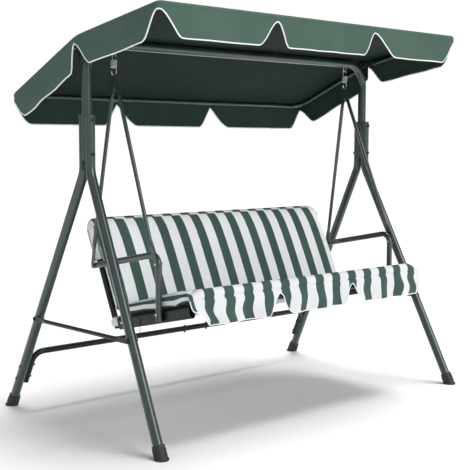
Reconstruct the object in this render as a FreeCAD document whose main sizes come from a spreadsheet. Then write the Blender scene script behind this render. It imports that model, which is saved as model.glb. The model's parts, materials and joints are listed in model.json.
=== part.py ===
"""Canopy swing bench. +X is the bench's right, the front faces -Y, +Z is up, the origin is on the floor."""
import FreeCAD, Part
import math
import os
import Sketcher

Vector = FreeCAD.Vector
Placement = FreeCAD.Placement
Rotation = FreeCAD.Rotation
ALONG_X = Vector(1, 0, 0)
ALONG_Y = Vector(0, 1, 0)
ALONG_Z = Vector(0, 0, 1)
SIDES = (("left", -1), ("right", 1))
ENDS = (("front", -1), ("rear", 1))
CAP_RIBS = 10
CAP_RIB_PHASE = 10
KNOB_FLUTES = 6
NOTCH_STEPS = 6

doc = FreeCAD.newDocument("CanopySwing")
sheet = doc.addObject("Spreadsheet::Sheet", "Dims")
size = {}
nodes = []


# ---------------------------------------------------------------- driving dimensions (millimetres, degrees)
def dim(alias, value):
    """Put one dimension in the sheet and return its expression."""
    row = len(size) + 1
    sheet.set(f"A{row}", alias.replace("_", " "))
    sheet.set(f"B{row}", f"{value:.6f}")
    sheet.setAlias(f"B{row}", alias)
    size[alias] = value
    return f"Dims.{alias}"


# Stand
dim("tube", 38.0)
dim("tube_wall", 1.5)
dim("foot_across", 850.0)
dim("foot_along", 511.0)
dim("hoop_across", 801.0)
dim("leg_apart", 21.0)
dim("leg_bend_height", 997.0)
dim("leg_bend_radius", 110.0)
dim("leg_top", 1215.0)
dim("leg_foot_gap", 10.0)
dim("crescent_gap", 0.1)
dim("hoop_foot", 1042.0)
dim("hoop_radius", 105.0)
dim("beam_height", 1488.0)
dim("spigot_reach", 70.0)
dim("fit_gap", 0.1)
dim("cap_radius", 23.5)
dim("cap_length", 52.0)
dim("cap_flange_radius", 27.0)
dim("cap_flange", 7.0)
dim("cap_rib", 3.0)
dim("cap_rib_length", 34.0)
dim("brace_height", 394.0)
dim("brace_tube", 16.0)
dim("bar_tube", 25.0)
dim("thin_wall", 1.2)
dim("back_wall", 2.0)
dim("rear_bar_height", 240.0)
dim("rear_bar_radius", 45.0)
dim("rear_bar_end", 150.0)
dim("rear_bar_joint", 150.0)
dim("rear_bar_spigot", 160.0)
dim("bolt_small", 6.0)
dim("bolt_medium", 8.0)
dim("bolt_slack", 0.15)
dim("nut_bore_slack", 0.05)
dim("lean_gap", 0.4)
dim("head_radius_share", 0.9)
dim("head_height_share", 0.65)
dim("drill_half", 20.0)
dim("drill_reach", 40.0)
dim("eye_hole_start", 3.0)
dim("eye_hole_depth", 12.0)
dim("eye_hole_gap", 0.02)
dim("cap_waste", 100.0)
dim("rear_bar_socket", 40.0)
dim("rear_bar_sleeve", 30.0)
dim("rear_bar_sleeve_inset", 5.0)
dim("rear_bar_drill", 80.0)

# Suspension
dim("spring_across", 673.0)
dim("eye_height", 1452.0)
dim("eye_wire", 5.0)
dim("eye_half_width", 9.0)
dim("eye_bury", 5.0)
dim("coil_radius", 11.0)
dim("coil_wire", 4.0)
dim("coil_pitch", 4.8)
dim("coil_height", 30.0)
dim("coil_top", 1430.0)
dim("hook_top_gap", 0.1)
dim("hook_low", 1372.0)
dim("hook_tail", 4.0)

# Seat frame
dim("rail_across", 653.5)
dim("rail_wide", 25.0)
dim("rail_tall", 50.0)
dim("rail_middle_height", 394.5)
dim("seat_slope", 12.9)
dim("rail_rear", 6.0)
dim("rail_front", 445.0)
dim("rail_cap", 4.0)
dim("rail_plug", 12.0)
dim("rail_plug_slack", 0.2)
dim("cross_along", 437.0)
dim("cross_height", 507.0)
dim("back_slope", 24.56)
dim("back_foot_along", 35.0)
dim("back_foot_height", 420.0)
dim("back_tube_foot", 50.0)
dim("back_tube_top", 408.0)
dim("back_radius", 60.0)
dim("lower_tube_drop", 25.0)
dim("lug_thick", 4.0)
dim("lug_wide", 28.0)
dim("rail_bolt_along", 30.0)
dim("sling_thick", 2.0)
dim("sling_rear", 12.0)
dim("arm_across", 678.5)
dim("arm_rear_along", 125.0)
dim("arm_rear_height", 618.0)
dim("arm_front_along", 282.0)
dim("arm_corner_height", 698.0)
dim("arm_radius", 38.0)
dim("arm_overhang", 12.5)
dim("arm_foot_height", 441.0)
dim("arm_bolt_height", 468.0)
dim("hanger_bolt_height", 658.0)
dim("hanger_tube", 16.0)
dim("hanger_wall", 1.2)
dim("flat_thick", 3.0)
dim("flat_wide", 20.0)
dim("flat_length", 60.0)
dim("flat_taper", 30.0)
dim("press_overlap", 1.0)
dim("flat_gap", 0.05)
dim("hanger_hole", 5.5)
dim("hanger_hole_drop", 2.8)

# Seat cover
dim("cover_across", 665.0)
dim("cushion_thick", 50.0)
dim("cushion_round", 15.0)
dim("cushion_skin", 4.0)
dim("cushion_rear", 18.0)
dim("cushion_front", 452.0)
dim("back_pad_thick", 38.0)
dim("back_pad_low", 6.0)
dim("back_pad_top", 423.5)
dim("pad_gap", 0.3)
dim("hood_low", 235.0)
dim("hood_thick", 3.0)
dim("roll_radius", 26.0)
dim("roll_across", 636.0)
dim("skirt_plane", 452.5)
dim("skirt_thick", 2.0)
dim("skirt_top", 553.0)
dim("skirt_drop", 114.0)
dim("skirt_notch_depth", 42.0)
dim("skirt_notch_width", 60.0)
dim("skirt_notch_across", 216.0)
dim("piping", 5.0)
dim("tie_wide", 5.0)
dim("tie_thick", 1.5)
dim("tie_length", 72.0)
dim("tie_along", 152.0)
dim("tie_top", 434.0)

# Canopy
dim("canopy_across", 850.0)
dim("canopy_half", 508.0)
dim("canopy_ridge", 1513.0)
dim("canopy_front_slope", 9.0)
dim("canopy_rear_slope", 23.8)
dim("cloth", 2.0)
dim("canopy_bar", 19.0)
dim("canopy_bar_across", 836.0)
dim("canopy_bar_radius", 70.0)
dim("canopy_bar_start", 30.0)
dim("flap_drop", 120.0)
dim("flap_apex", 28.0)
dim("flap_notch_width", 90.0)
dim("flap_notch_across", 283.0)
dim("lug_inner", 820.1)
dim("bracket_thick", 4.0)
dim("bracket_wide", 36.0)
dim("bracket_length", 60.0)
dim("bracket_stub_radius", 11.0)
dim("pivot_gap", 0.06)
dim("tongue_thick", 3.0)
dim("tongue_wide", 22.0)
dim("tongue_length", 45.0)
dim("tongue_front_inner", 825.2)
dim("tongue_rear_inner", 829.0)
dim("knob_radius", 18.0)
dim("knob_head", 16.0)
dim("knob_hub_radius", 11.0)
dim("knob_hub", 13.8)
dim("knob_inner", 790.0)
dim("knob_flute", 4.0)
dim("knob_flute_out", 1.0)
dim("pivot_head", 5.0)
dim("pivot_tip", 1.0)
dim("bar_plug", 3.0)
dim("bar_edge_inset", 3.0)


# ---------------------------------------------------------------- helpers
def bind(obj, **expressions):
    """Tie properties of an object to the sheet."""
    for name, expression in expressions.items():
        obj.setExpression(name, expression)


def node(obj, label):
    """Name a finished sub-part."""
    obj.Label = label
    nodes.append(obj)
    return obj


def aim(z_axis, x_hint):
    """Rotation that turns local Z to z_axis and local X towards x_hint."""
    z_unit = Vector(z_axis).normalize()
    x_unit = (x_hint - z_unit * x_hint.dot(z_unit)).normalize()
    return Rotation(x_unit, z_unit.cross(x_unit), z_unit, "ZXY")


def cylinder(name, radius, height, base, axis=ALONG_Z):
    obj = doc.addObject("Part::Cylinder", name)
    bind(obj, Radius=radius, Height=height)
    obj.Placement = Placement(base, Rotation(ALONG_Z, axis))
    return obj


def box(name, length, width, height, base, rotation=Rotation()):
    """A box that starts at base and runs along the rotated X, Y and Z."""
    obj = doc.addObject("Part::Box", name)
    bind(obj, Length=length, Width=width, Height=height)
    obj.Placement = Placement(base, rotation)
    return obj


def hexagon(name, radius, height, base, axis):
    obj = doc.addObject("Part::Prism", name)
    obj.Polygon = 6
    bind(obj, Circumradius=radius, Height=height)
    obj.Placement = Placement(base, Rotation(ALONG_Z, axis))
    return obj


def cut(name, base, tool):
    obj = doc.addObject("Part::Cut", name)
    obj.Base = base
    obj.Tool = tool
    return obj


def fuse(name, pieces):
    obj = doc.addObject("Part::MultiFuse", name)
    obj.Shapes = pieces
    return obj


def group(name, pieces):
    """Separate solids kept as one sub-part."""
    obj = doc.addObject("Part::Compound", name)
    obj.Links = pieces
    return obj


def hollow(name, radius, bore, height, base, axis=ALONG_Z):
    outer = cylinder(name + "_outer", radius, height, base, axis)
    inner = cylinder(name + "_bore", bore, height, base, axis)
    return cut(name, outer, inner)


def drill(name, blank, holes):
    """Cut straight holes (start, axis, radius, depth) through a piece."""
    drills = [cylinder(f"{name}_hole_{i}", radius, depth, start, axis)
              for i, (start, axis, radius, depth) in enumerate(holes)]
    tool = drills[0] if len(drills) == 1 else fuse(name + "_holes", drills)
    return cut(name, blank, tool)


def sketch_on(body, plane, name):
    """A sketch attached to one of the body's own origin planes."""
    sketch = body.newObject("Sketcher::SketchObject", name)
    origin_plane = [f for f in body.Origin.OriginFeatures if f.Role == plane][0]
    sketch.AttachmentSupport = [(origin_plane, "")]
    sketch.MapMode = "FlatFace"
    return sketch


def constrain(sketch, expression, *definition):
    """Add one constraint whose value comes from the sheet."""
    index = sketch.addConstraint(Sketcher.Constraint(*definition))
    sketch.setExpression(f"Constraints[{index}]", expression)


def add_circle(sketch, diameter, expression):
    circle = sketch.addGeometry(Part.Circle(Vector(), ALONG_Z, diameter / 2), False)
    sketch.addConstraint(Sketcher.Constraint("Coincident", circle, 3, -1, 1))
    constrain(sketch, expression, "Diameter", circle, diameter)


def add_route(sketch, runs, bends):
    """Straight runs joined by tangent arcs, from the origin along the sketch's Y.

    A run is an alias. A bend is (radius alias, angle alias), and turns right.
    """
    point = Vector()
    heading = math.pi / 2
    previous = None
    for i, run in enumerate(runs):
        ahead = Vector(math.cos(heading), math.sin(heading), 0)
        end = point + ahead * size[run]
        line = sketch.addGeometry(Part.LineSegment(point, end), False)
        if previous is None:
            sketch.addConstraint(Sketcher.Constraint("Coincident", line, 1, -1, 1))
            sketch.addConstraint(Sketcher.Constraint("Vertical", line))
        else:
            sketch.addConstraint(Sketcher.Constraint("Tangent", previous, 1, line, 1))
        constrain(sketch, f"Dims.{run}", "Distance", line, size[run])
        point = end
        if i == len(bends):
            break
        radius, angle = bends[i]
        turn = math.radians(size[angle])
        centre = point + Vector(ahead.y, -ahead.x, 0) * size[radius]
        start_angle = heading + math.pi / 2
        circle = Part.Circle(centre, ALONG_Z, size[radius])
        arc = sketch.addGeometry(Part.ArcOfCircle(circle, start_angle - turn, start_angle), False)
        sketch.addConstraint(Sketcher.Constraint("Tangent", line, 2, arc, 2))
        constrain(sketch, f"Dims.{radius}", "Radius", arc, size[radius])
        constrain(sketch, f"Dims.{angle} * 1 deg", "Angle", arc, turn)
        heading -= turn
        point = centre + Vector(math.cos(start_angle - turn), math.sin(start_angle - turn), 0) * size[radius]
        previous = arc


def bent_tube(name, runs, bends, outer, wall, placement):
    """A tube swept along a bent route; wall None makes it solid."""
    body = doc.addObject("PartDesign::Body", name)
    route = sketch_on(body, "XZ_Plane", name + "_route")
    add_route(route, runs, bends)
    section = sketch_on(body, "XY_Plane", name + "_section")
    add_circle(section, size[outer], f"Dims.{outer}")
    if wall:
        add_circle(section, size[outer] - 2 * size[wall], f"Dims.{outer} - 2 * Dims.{wall}")
    pipe = body.newObject("PartDesign::AdditivePipe", name + "_pipe")
    pipe.Profile = section
    pipe.Spine = route
    body.Placement = placement
    return body


def add_rectangle(sketch, half_x, half_y, expression_x, expression_y):
    """A rectangle centred on the sketch's origin."""
    corners = [Vector(-half_x, -half_y), Vector(half_x, -half_y), Vector(half_x, half_y),
               Vector(-half_x, half_y)]
    for i in range(4):
        sketch.addGeometry(Part.LineSegment(corners[i], corners[(i + 1) % 4]), False)
    for i in range(4):
        sketch.addConstraint(Sketcher.Constraint("Coincident", i, 2, (i + 1) % 4, 1))
    for i, kind in enumerate(("Horizontal", "Vertical", "Horizontal", "Vertical")):
        sketch.addConstraint(Sketcher.Constraint(kind, i))
    sketch.addConstraint(Sketcher.Constraint("Symmetric", 0, 1, 1, 2, -1, 1))
    constrain(sketch, expression_x, "Distance", 0, 2 * half_x)
    constrain(sketch, expression_y, "Distance", 1, 2 * half_y)


def add_outline(sketch, corners):
    """A closed outline of straight edges; a corner is (x alias, y alias)."""
    count = len(corners)
    points = [Vector(size[x], size[y], 0) for x, y in corners]
    for i in range(count):
        sketch.addGeometry(Part.LineSegment(points[i], points[(i + 1) % count]), False)
    for i, (x, y) in enumerate(corners):
        sketch.addConstraint(Sketcher.Constraint("Coincident", i, 2, (i + 1) % count, 1))
        constrain(sketch, f"Dims.{x}", "DistanceX", -1, 1, i, 1, size[x])
        constrain(sketch, f"Dims.{y}", "DistanceY", -1, 1, i, 1, size[y])


def profile_bar(name, corners, half_width, placement):
    """An outline in the YZ plane, extruded evenly to both sides."""
    body = doc.addObject("PartDesign::Body", name)
    outline = sketch_on(body, "YZ_Plane", name + "_outline")
    add_outline(outline, corners)
    pad = body.newObject("PartDesign::Pad", name + "_pad")
    pad.Profile = outline
    pad.SideType = "Symmetric"
    bind(pad, Length=f"2 * Dims.{half_width}")
    body.Placement = placement
    return body, pad


def round_edges(body, feature_to_round, count, rounding):
    doc.recompute()
    rounded = body.newObject("PartDesign::Fillet", feature_to_round.Name + "_rounding")
    rounded.Base = (feature_to_round, [f"Edge{i + 1}" for i in range(count)])
    bind(rounded, Radius=f"Dims.{rounding}")


def padded_slab(name, across, along, thick, rounding, placement):
    """A rounded slab, centred in X and Y, that starts at Z = 0; sizes are aliases."""
    body = doc.addObject("PartDesign::Body", name)
    outline = sketch_on(body, "XY_Plane", name + "_outline")
    add_rectangle(outline, size[across], size[along] / 2, f"2 * Dims.{across}", f"Dims.{along}")
    pad = body.newObject("PartDesign::Pad", name + "_pad")
    pad.Profile = outline
    bind(pad, Length=f"Dims.{thick}")
    round_edges(body, pad, 12, rounding)
    body.Placement = placement
    return body


def obround(name, wide, tall, length, placement):
    """A flat-oval bar: wide in X, tall in Y, extruded along Z from the origin; arguments are expressions."""
    middle = box(name + "_middle", wide, f"{tall} - {wide}", length, Vector())
    bind(middle, **{"Placement.Base.x": f"-({wide}) / 2", "Placement.Base.y": f"-({tall} - {wide}) / 2"})
    ends = []
    for tag, sign in (("low", "-"), ("high", "")):
        end = cylinder(f"{name}_{tag}", f"({wide}) / 2", length, Vector())
        bind(end, **{"Placement.Base.y": f"{sign}({tall} - {wide}) / 2"})
        ends.append(end)
    bar = fuse(name, [middle] + ends)
    bar.Placement = placement
    return bar


def flat_end(name, thick, wide, length, axis_point, along, across):
    """A flattened tube end: thick across, rounded about the hole at axis_point."""
    corner = axis_point - across * (size[thick] / 2) - along.cross(across) * (size[wide] / 2)
    tongue = box(name + "_tongue", f"Dims.{thick}", f"Dims.{wide}", f"Dims.{length}", corner,
                 aim(along, across))
    start = axis_point - across * (size[thick] / 2)
    nose = cylinder(name + "_nose", f"Dims.{wide} / 2", f"Dims.{thick}", start, across)
    return [tongue, nose]


def strut(name, tube, wall, start, end, across, holes):
    """A round tube between two pin holes, both ends pressed flat with their faces square to across."""
    offset = end - start
    along = (offset - across * offset.dot(across)).normalize()
    reach = size["flat_length"] + size["flat_taper"]
    mouths = (start + along * reach, end - along * reach)
    run_axis = (mouths[1] - mouths[0]).normalize()
    run = dim(name + "_run", mouths[0].distanceToPoint(mouths[1]))
    pieces = []
    for tag, point, mouth_point, sign in (("start", start, mouths[0], 1), ("end", end, mouths[1], -1)):
        inward = along * sign
        pieces += flat_end(f"{name}_{tag}", "flat_thick", "flat_wide", "flat_length", point, inward, across)
        flat_side = inward.cross(across)
        press = doc.addObject("Part::Ellipse", f"{name}_{tag}_press")
        bind(press, MajorRadius="Dims.flat_wide / 2", MinorRadius="Dims.flat_thick / 2")
        press.Placement = Placement(point + inward * (size["flat_length"] - size["press_overlap"]),
                                    aim(inward, flat_side))
        mouth = doc.addObject("Part::Circle", f"{name}_{tag}_mouth")
        bind(mouth, Radius=f"Dims.{tube} / 2")
        mouth.Placement = Placement(mouth_point, aim(run_axis * sign, flat_side))
        taper = doc.addObject("Part::Loft", f"{name}_{tag}_taper")
        taper.Sections = [press, mouth]
        taper.Solid = True
        pieces.append(taper)
    pieces.append(hollow(f"{name}_tube", f"Dims.{tube} / 2", f"Dims.{tube} / 2 - Dims.{wall}", run,
                         mouths[0], run_axis))
    blank = fuse(name + "_blank", pieces)
    clear = across * size["drill_half"]
    pin_holes = [(point - clear, across, radius, "Dims.drill_reach") for point, radius in holes]
    return drill(name, blank, pin_holes)


def bolt(name, seat, axis, grip, diameter):
    """A hexagon bolt from its seat along axis, with its nut past the grip; returns both."""
    hex_radius = f"Dims.{diameter} * Dims.head_radius_share"
    hex_height = f"Dims.{diameter} * Dims.head_height_share"
    head_height = size[diameter] * size["head_height_share"]
    head = hexagon(name + "_head", hex_radius, hex_height, seat - axis * head_height, axis)
    shank_length = grip + head_height + size[diameter] / 2
    shank = cylinder(name + "_shank", f"Dims.{diameter} / 2", f"{shank_length:.4f}", seat, axis)
    nut_start = seat + axis * grip
    nut_blank = hexagon(name + "_nut_blank", hex_radius, hex_height, nut_start, axis)
    nut_bore = cylinder(name + "_nut_bore", f"Dims.{diameter} / 2 + Dims.nut_bore_slack", hex_height,
                        nut_start, axis)
    return fuse(name, [head, shank]), cut(name + "_nut", nut_blank, nut_bore)


def bolt_hole(diameter):
    return f"Dims.{diameter} / 2 + Dims.bolt_slack"


# ---------------------------------------------------------------- stand
def leg_axis(side, end, height):
    """Centre of a leg's straight lower tube at a height."""
    share = height / size["leg_bend_height"]
    across = size["foot_across"] + share * (size["hoop_across"] - size["foot_across"])
    along = size["foot_along"] + share * (size["leg_apart"] - size["foot_along"])
    return Vector(side * across, end * along, height)


def leg_direction(side, end):
    return (leg_axis(side, end, size["leg_bend_height"]) - leg_axis(side, end, 0)).normalize()


lean = math.acos(leg_direction(1, 1).z)
leg_length = leg_axis(1, 1, 0).distanceToPoint(leg_axis(1, 1, size["leg_bend_height"]))
leg_setback = size["leg_bend_radius"] * math.tan(lean / 2)
dim("leg_lean", math.degrees(lean))
dim("leg_lower_run", leg_length - leg_setback - size["leg_foot_gap"])
dim("leg_upper_run", size["leg_top"] - size["leg_bend_height"] - leg_setback)
dim("leg_upper_bore", size["leg_upper_run"] - size["tube_wall"])
dim("tube_bore", size["tube"] - 2 * size["tube_wall"])
dim("right_angle", 90.0)
dim("hoop_post_run", size["beam_height"] - size["hoop_radius"] - size["hoop_foot"])
dim("hoop_beam_run", size["hoop_across"] - size["hoop_radius"])
leg_bolt_heights = (1065.0, 1195.0)
rear_bar_bolt_heights = (128.0, 181.0)
rear_bar_joint_bolts = (5.0, 138.0)
tube_clear = size["tube"] / 2 + size["drill_half"]
tube_reach = "Dims.tube + 2 * Dims.drill_half"
stand_bolts = []
stand_nuts = []


def keep_bolt(name, seat, axis, grip, diameter, bolts, nuts):
    screw, nut = bolt(name, seat, axis, grip, diameter)
    bolts.append(screw)
    nuts.append(nut)


def make_leg(tag, side, end):
    """A leg whose upright stretch is pressed to a crescent around the hoop's post."""
    direction = leg_direction(side, end)
    placement = Placement(leg_axis(side, end, 0) + direction * size["leg_foot_gap"], aim(direction, ALONG_Z))
    bends = [("leg_bend_radius", "leg_lean")]
    outside = bent_tube(f"leg_{tag}_outside", ["leg_lower_run", "leg_upper_run"], bends, "tube", None,
                        placement)
    inside = bent_tube(f"leg_{tag}_inside", ["leg_lower_run", "leg_upper_bore"], bends, "tube_bore", None,
                       placement)
    post = Vector(side * size["hoop_across"], 0, size["hoop_foot"] - size["tube"])
    dent_length = "Dims.leg_top - Dims.hoop_foot + 2 * Dims.tube"
    dent = cylinder(f"leg_{tag}_dent", "Dims.tube / 2 + Dims.crescent_gap", dent_length, post)
    inner_dent = cylinder(f"leg_{tag}_inner_dent", "Dims.tube / 2 + Dims.crescent_gap + Dims.tube_wall",
                          dent_length, post)
    shell = cut(f"leg_{tag}_shell", cut(f"leg_{tag}_dented", outside, dent),
                cut(f"leg_{tag}_bore", inside, inner_dent))
    holes = []
    for height in leg_bolt_heights:
        start = Vector(side * size["hoop_across"], end * size["leg_apart"] - tube_clear, height)
        holes.append((start, ALONG_Y, bolt_hole("bolt_medium"), tube_reach))
    crossings = [size["brace_height"]]
    if end > 0:
        crossings += rear_bar_bolt_heights
    for height in crossings:
        start = leg_axis(side, end, height) - ALONG_X * tube_clear
        holes.append((start, ALONG_X, bolt_hole("bolt_small"), tube_reach))
    node(drill(f"leg_{tag}", shell, holes), f"leg_{tag}")


def make_foot_cap(tag, side, end):
    """A ribbed cap on the leg's end, with a flange flat on the floor."""
    direction = leg_direction(side, end)
    ground = leg_axis(side, end, 0)
    frame = aim(direction, ALONG_X)
    flange = cylinder(f"cap_{tag}_flange", "Dims.cap_flange_radius", "Dims.cap_flange", ground)
    sunk = size["cap_radius"]
    sleeve = cylinder(f"cap_{tag}_sleeve", "Dims.cap_radius", "Dims.cap_length + Dims.cap_radius",
                      ground - direction * sunk, direction)
    ribs = []
    rib_inset = size["cap_radius"] - size["cap_rib"] / 2
    for i in range(CAP_RIBS):
        turn = Rotation(ALONG_Z, 360 / CAP_RIBS * i + CAP_RIB_PHASE)
        corner = frame.multVec(turn.multVec(Vector(rib_inset, -size["cap_rib"] / 2, size["cap_flange"])))
        ribs.append(box(f"cap_{tag}_rib_{i}", "Dims.cap_rib", "Dims.cap_rib", "Dims.cap_rib_length",
                        ground + corner, frame.multiply(turn)))
    below = box(f"cap_{tag}_floor", "2 * Dims.cap_waste", "2 * Dims.cap_waste", "Dims.cap_waste",
                ground - Vector(1, 1, 1) * size["cap_waste"])
    socket = cylinder(f"cap_{tag}_socket", "Dims.tube / 2 + Dims.fit_gap", "Dims.cap_length",
                      ground + direction * size["leg_foot_gap"], direction)
    solid = fuse(f"cap_{tag}_solid", [flange, sleeve] + ribs)
    waste = fuse(f"cap_{tag}_waste", [below, socket])
    node(cut(f"cap_{tag}", solid, waste), f"foot_cap_{tag}")


for end_name, end in ENDS:
    for side_name, side in SIDES:
        tag = f"{end_name}_{side_name}"
        make_leg(tag, side, end)
        make_foot_cap(tag, side, end)

for side_name, side in SIDES:
    post_foot = Vector(side * size["hoop_across"], 0, size["hoop_foot"])
    hoop = bent_tube(f"hoop_{side_name}_tube", ["hoop_post_run", "hoop_beam_run"],
                     [("hoop_radius", "right_angle")],
                     "tube", "tube_wall", Placement(post_foot, aim(ALONG_Z, ALONG_X * -side)))
    if side > 0:
        reach = size["spigot_reach"]
        spigot = hollow("hoop_spigot", "Dims.tube / 2 - Dims.tube_wall - Dims.fit_gap",
                        "Dims.tube / 2 - 2 * Dims.tube_wall - Dims.fit_gap", "2 * Dims.spigot_reach",
                        Vector(-reach, 0, size["beam_height"]), ALONG_X)
        sleeve = hollow("hoop_sleeve", "Dims.tube / 2 - Dims.tube_wall / 2",
                        "Dims.tube / 2 - 2 * Dims.tube_wall",
                        "Dims.spigot_reach / 2", Vector(reach / 2, 0, size["beam_height"]), ALONG_X)
        hoop = fuse("hoop_with_spigot", [hoop, spigot, sleeve])
    holes = []
    for height in leg_bolt_heights:
        start = Vector(side * size["hoop_across"], -tube_clear, height)
        holes.append((start, ALONG_Y, bolt_hole("bolt_medium"), tube_reach))
        keep_bolt(f"leg_bolt_{side_name}_{height:.0f}",
                  Vector(side * size["hoop_across"], -size["leg_apart"] - size["tube"] / 2, height),
                  ALONG_Y, 2 * size["leg_apart"] + size["tube"], "bolt_medium", stand_bolts, stand_nuts)
    for foot in (-1, 1):
        start = Vector(side * size["spring_across"] + foot * size["eye_half_width"], 0,
                       size["beam_height"] - size["tube"] / 2 - size["eye_hole_start"])
        holes.append((start, ALONG_Z, "Dims.eye_wire / 2 + Dims.eye_hole_gap", "Dims.eye_hole_depth"))
    node(drill(f"hoop_{side_name}", hoop, holes), f"hoop_{side_name}")

    # A welded U eye under the beam, its bottom rounded about the swing axis
    eye_parts = []
    wire = "Dims.eye_wire / 2"
    eye_middle = Vector(side * size["spring_across"], 0, size["eye_height"])
    eye_bend = size["eye_half_width"] / 2
    leg_rise = size["beam_height"] - size["tube"] / 2 + size["eye_bury"] - size["eye_height"] - eye_bend
    eye_parts.append(cylinder(f"eye_{side_name}_floor", wire, "Dims.eye_half_width",
                              eye_middle - ALONG_X * eye_bend, ALONG_X))
    for foot in (-1, 1):
        eye_parts.append(cylinder(f"eye_{side_name}_leg_{foot + 1}", wire, f"{leg_rise}",
                                  eye_middle + Vector(foot * size["eye_half_width"], 0, eye_bend)))
        corner = doc.addObject("Part::Torus", f"eye_{side_name}_bend_{foot + 1}")
        bind(corner, Radius1="Dims.eye_half_width / 2", Radius2=wire)
        corner.Angle3 = 90
        corner.Placement = Placement(eye_middle + Vector(foot * eye_bend, 0, eye_bend),
                                     Rotation(ALONG_X * foot, ALONG_Z * -1, ALONG_Y * foot, "ZXY"))
        eye_parts.append(corner)
    node(fuse(f"eye_{side_name}", eye_parts), f"spring_eye_{side_name}")

    # Flat lug beside the hoop's bend, on a stub welded to it, up to the canopy's pivot
    bracket_foot = size["beam_height"] - size["bracket_length"]
    lug_x = size["lug_inner"] + size["bracket_thick"] / 2
    lug = obround(f"bracket_{side_name}_blank", "Dims.bracket_wide",
                  "Dims.bracket_length + Dims.bracket_wide",
                  "Dims.bracket_thick",
                  Placement(Vector(side * lug_x - size["bracket_thick"] / 2, 0,
                                   (bracket_foot + size["beam_height"]) / 2), aim(ALONG_X, ALONG_Y)))
    stub = cylinder(f"bracket_{side_name}_stub", "Dims.bracket_stub_radius", "Dims.tube / 2",
                    Vector(side * size["lug_inner"], 0, bracket_foot), ALONG_X * -side)
    bend = doc.addObject("Part::Torus", f"bracket_{side_name}_bend")
    bind(bend, Radius1="Dims.hoop_radius", Radius2="Dims.tube / 2 + Dims.nut_bore_slack")
    bend.Placement = Placement(Vector(side * (size["hoop_across"] - size["hoop_radius"]), 0,
                                      size["beam_height"] - size["hoop_radius"]), aim(ALONG_Y, ALONG_X))
    welded = fuse(f"bracket_{side_name}_welded", [lug, cut(f"bracket_{side_name}_foot", stub, bend)])
    bracket = drill(f"bracket_{side_name}", welded,
                    [(Vector(side * lug_x - size["drill_half"], 0, size["beam_height"]), ALONG_X,
                      "Dims.bolt_medium / 2 + Dims.pivot_gap", "Dims.drill_reach")])
    node(bracket, f"canopy_bracket_{side_name}")

    # Side brace on the outside of both legs
    brace_reach = (size["tube"] + size["flat_thick"]) / 2 + size["lean_gap"]
    brace_x = leg_axis(1, 1, size["brace_height"]).x + brace_reach
    brace_y = leg_axis(1, 1, size["brace_height"]).y
    front_pin = Vector(side * brace_x, -brace_y, size["brace_height"])
    rear_pin = Vector(side * brace_x, brace_y, size["brace_height"])
    brace = strut(f"brace_{side_name}", "brace_tube", "thin_wall", front_pin, rear_pin, ALONG_X,
                  [(front_pin, bolt_hole("bolt_small")), (rear_pin, bolt_hole("bolt_small"))])
    node(brace, f"side_brace_{side_name}")
    for end_name, pin in (("front", front_pin), ("rear", rear_pin)):
        seat = pin + ALONG_X * (side * size["flat_thick"] / 2)
        keep_bolt(f"brace_bolt_{end_name}_{side_name}", seat, ALONG_X * -side,
                  size["flat_thick"] + size["tube"] + 2 * size["lean_gap"], "bolt_small", stand_bolts,
                  stand_nuts)

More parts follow.
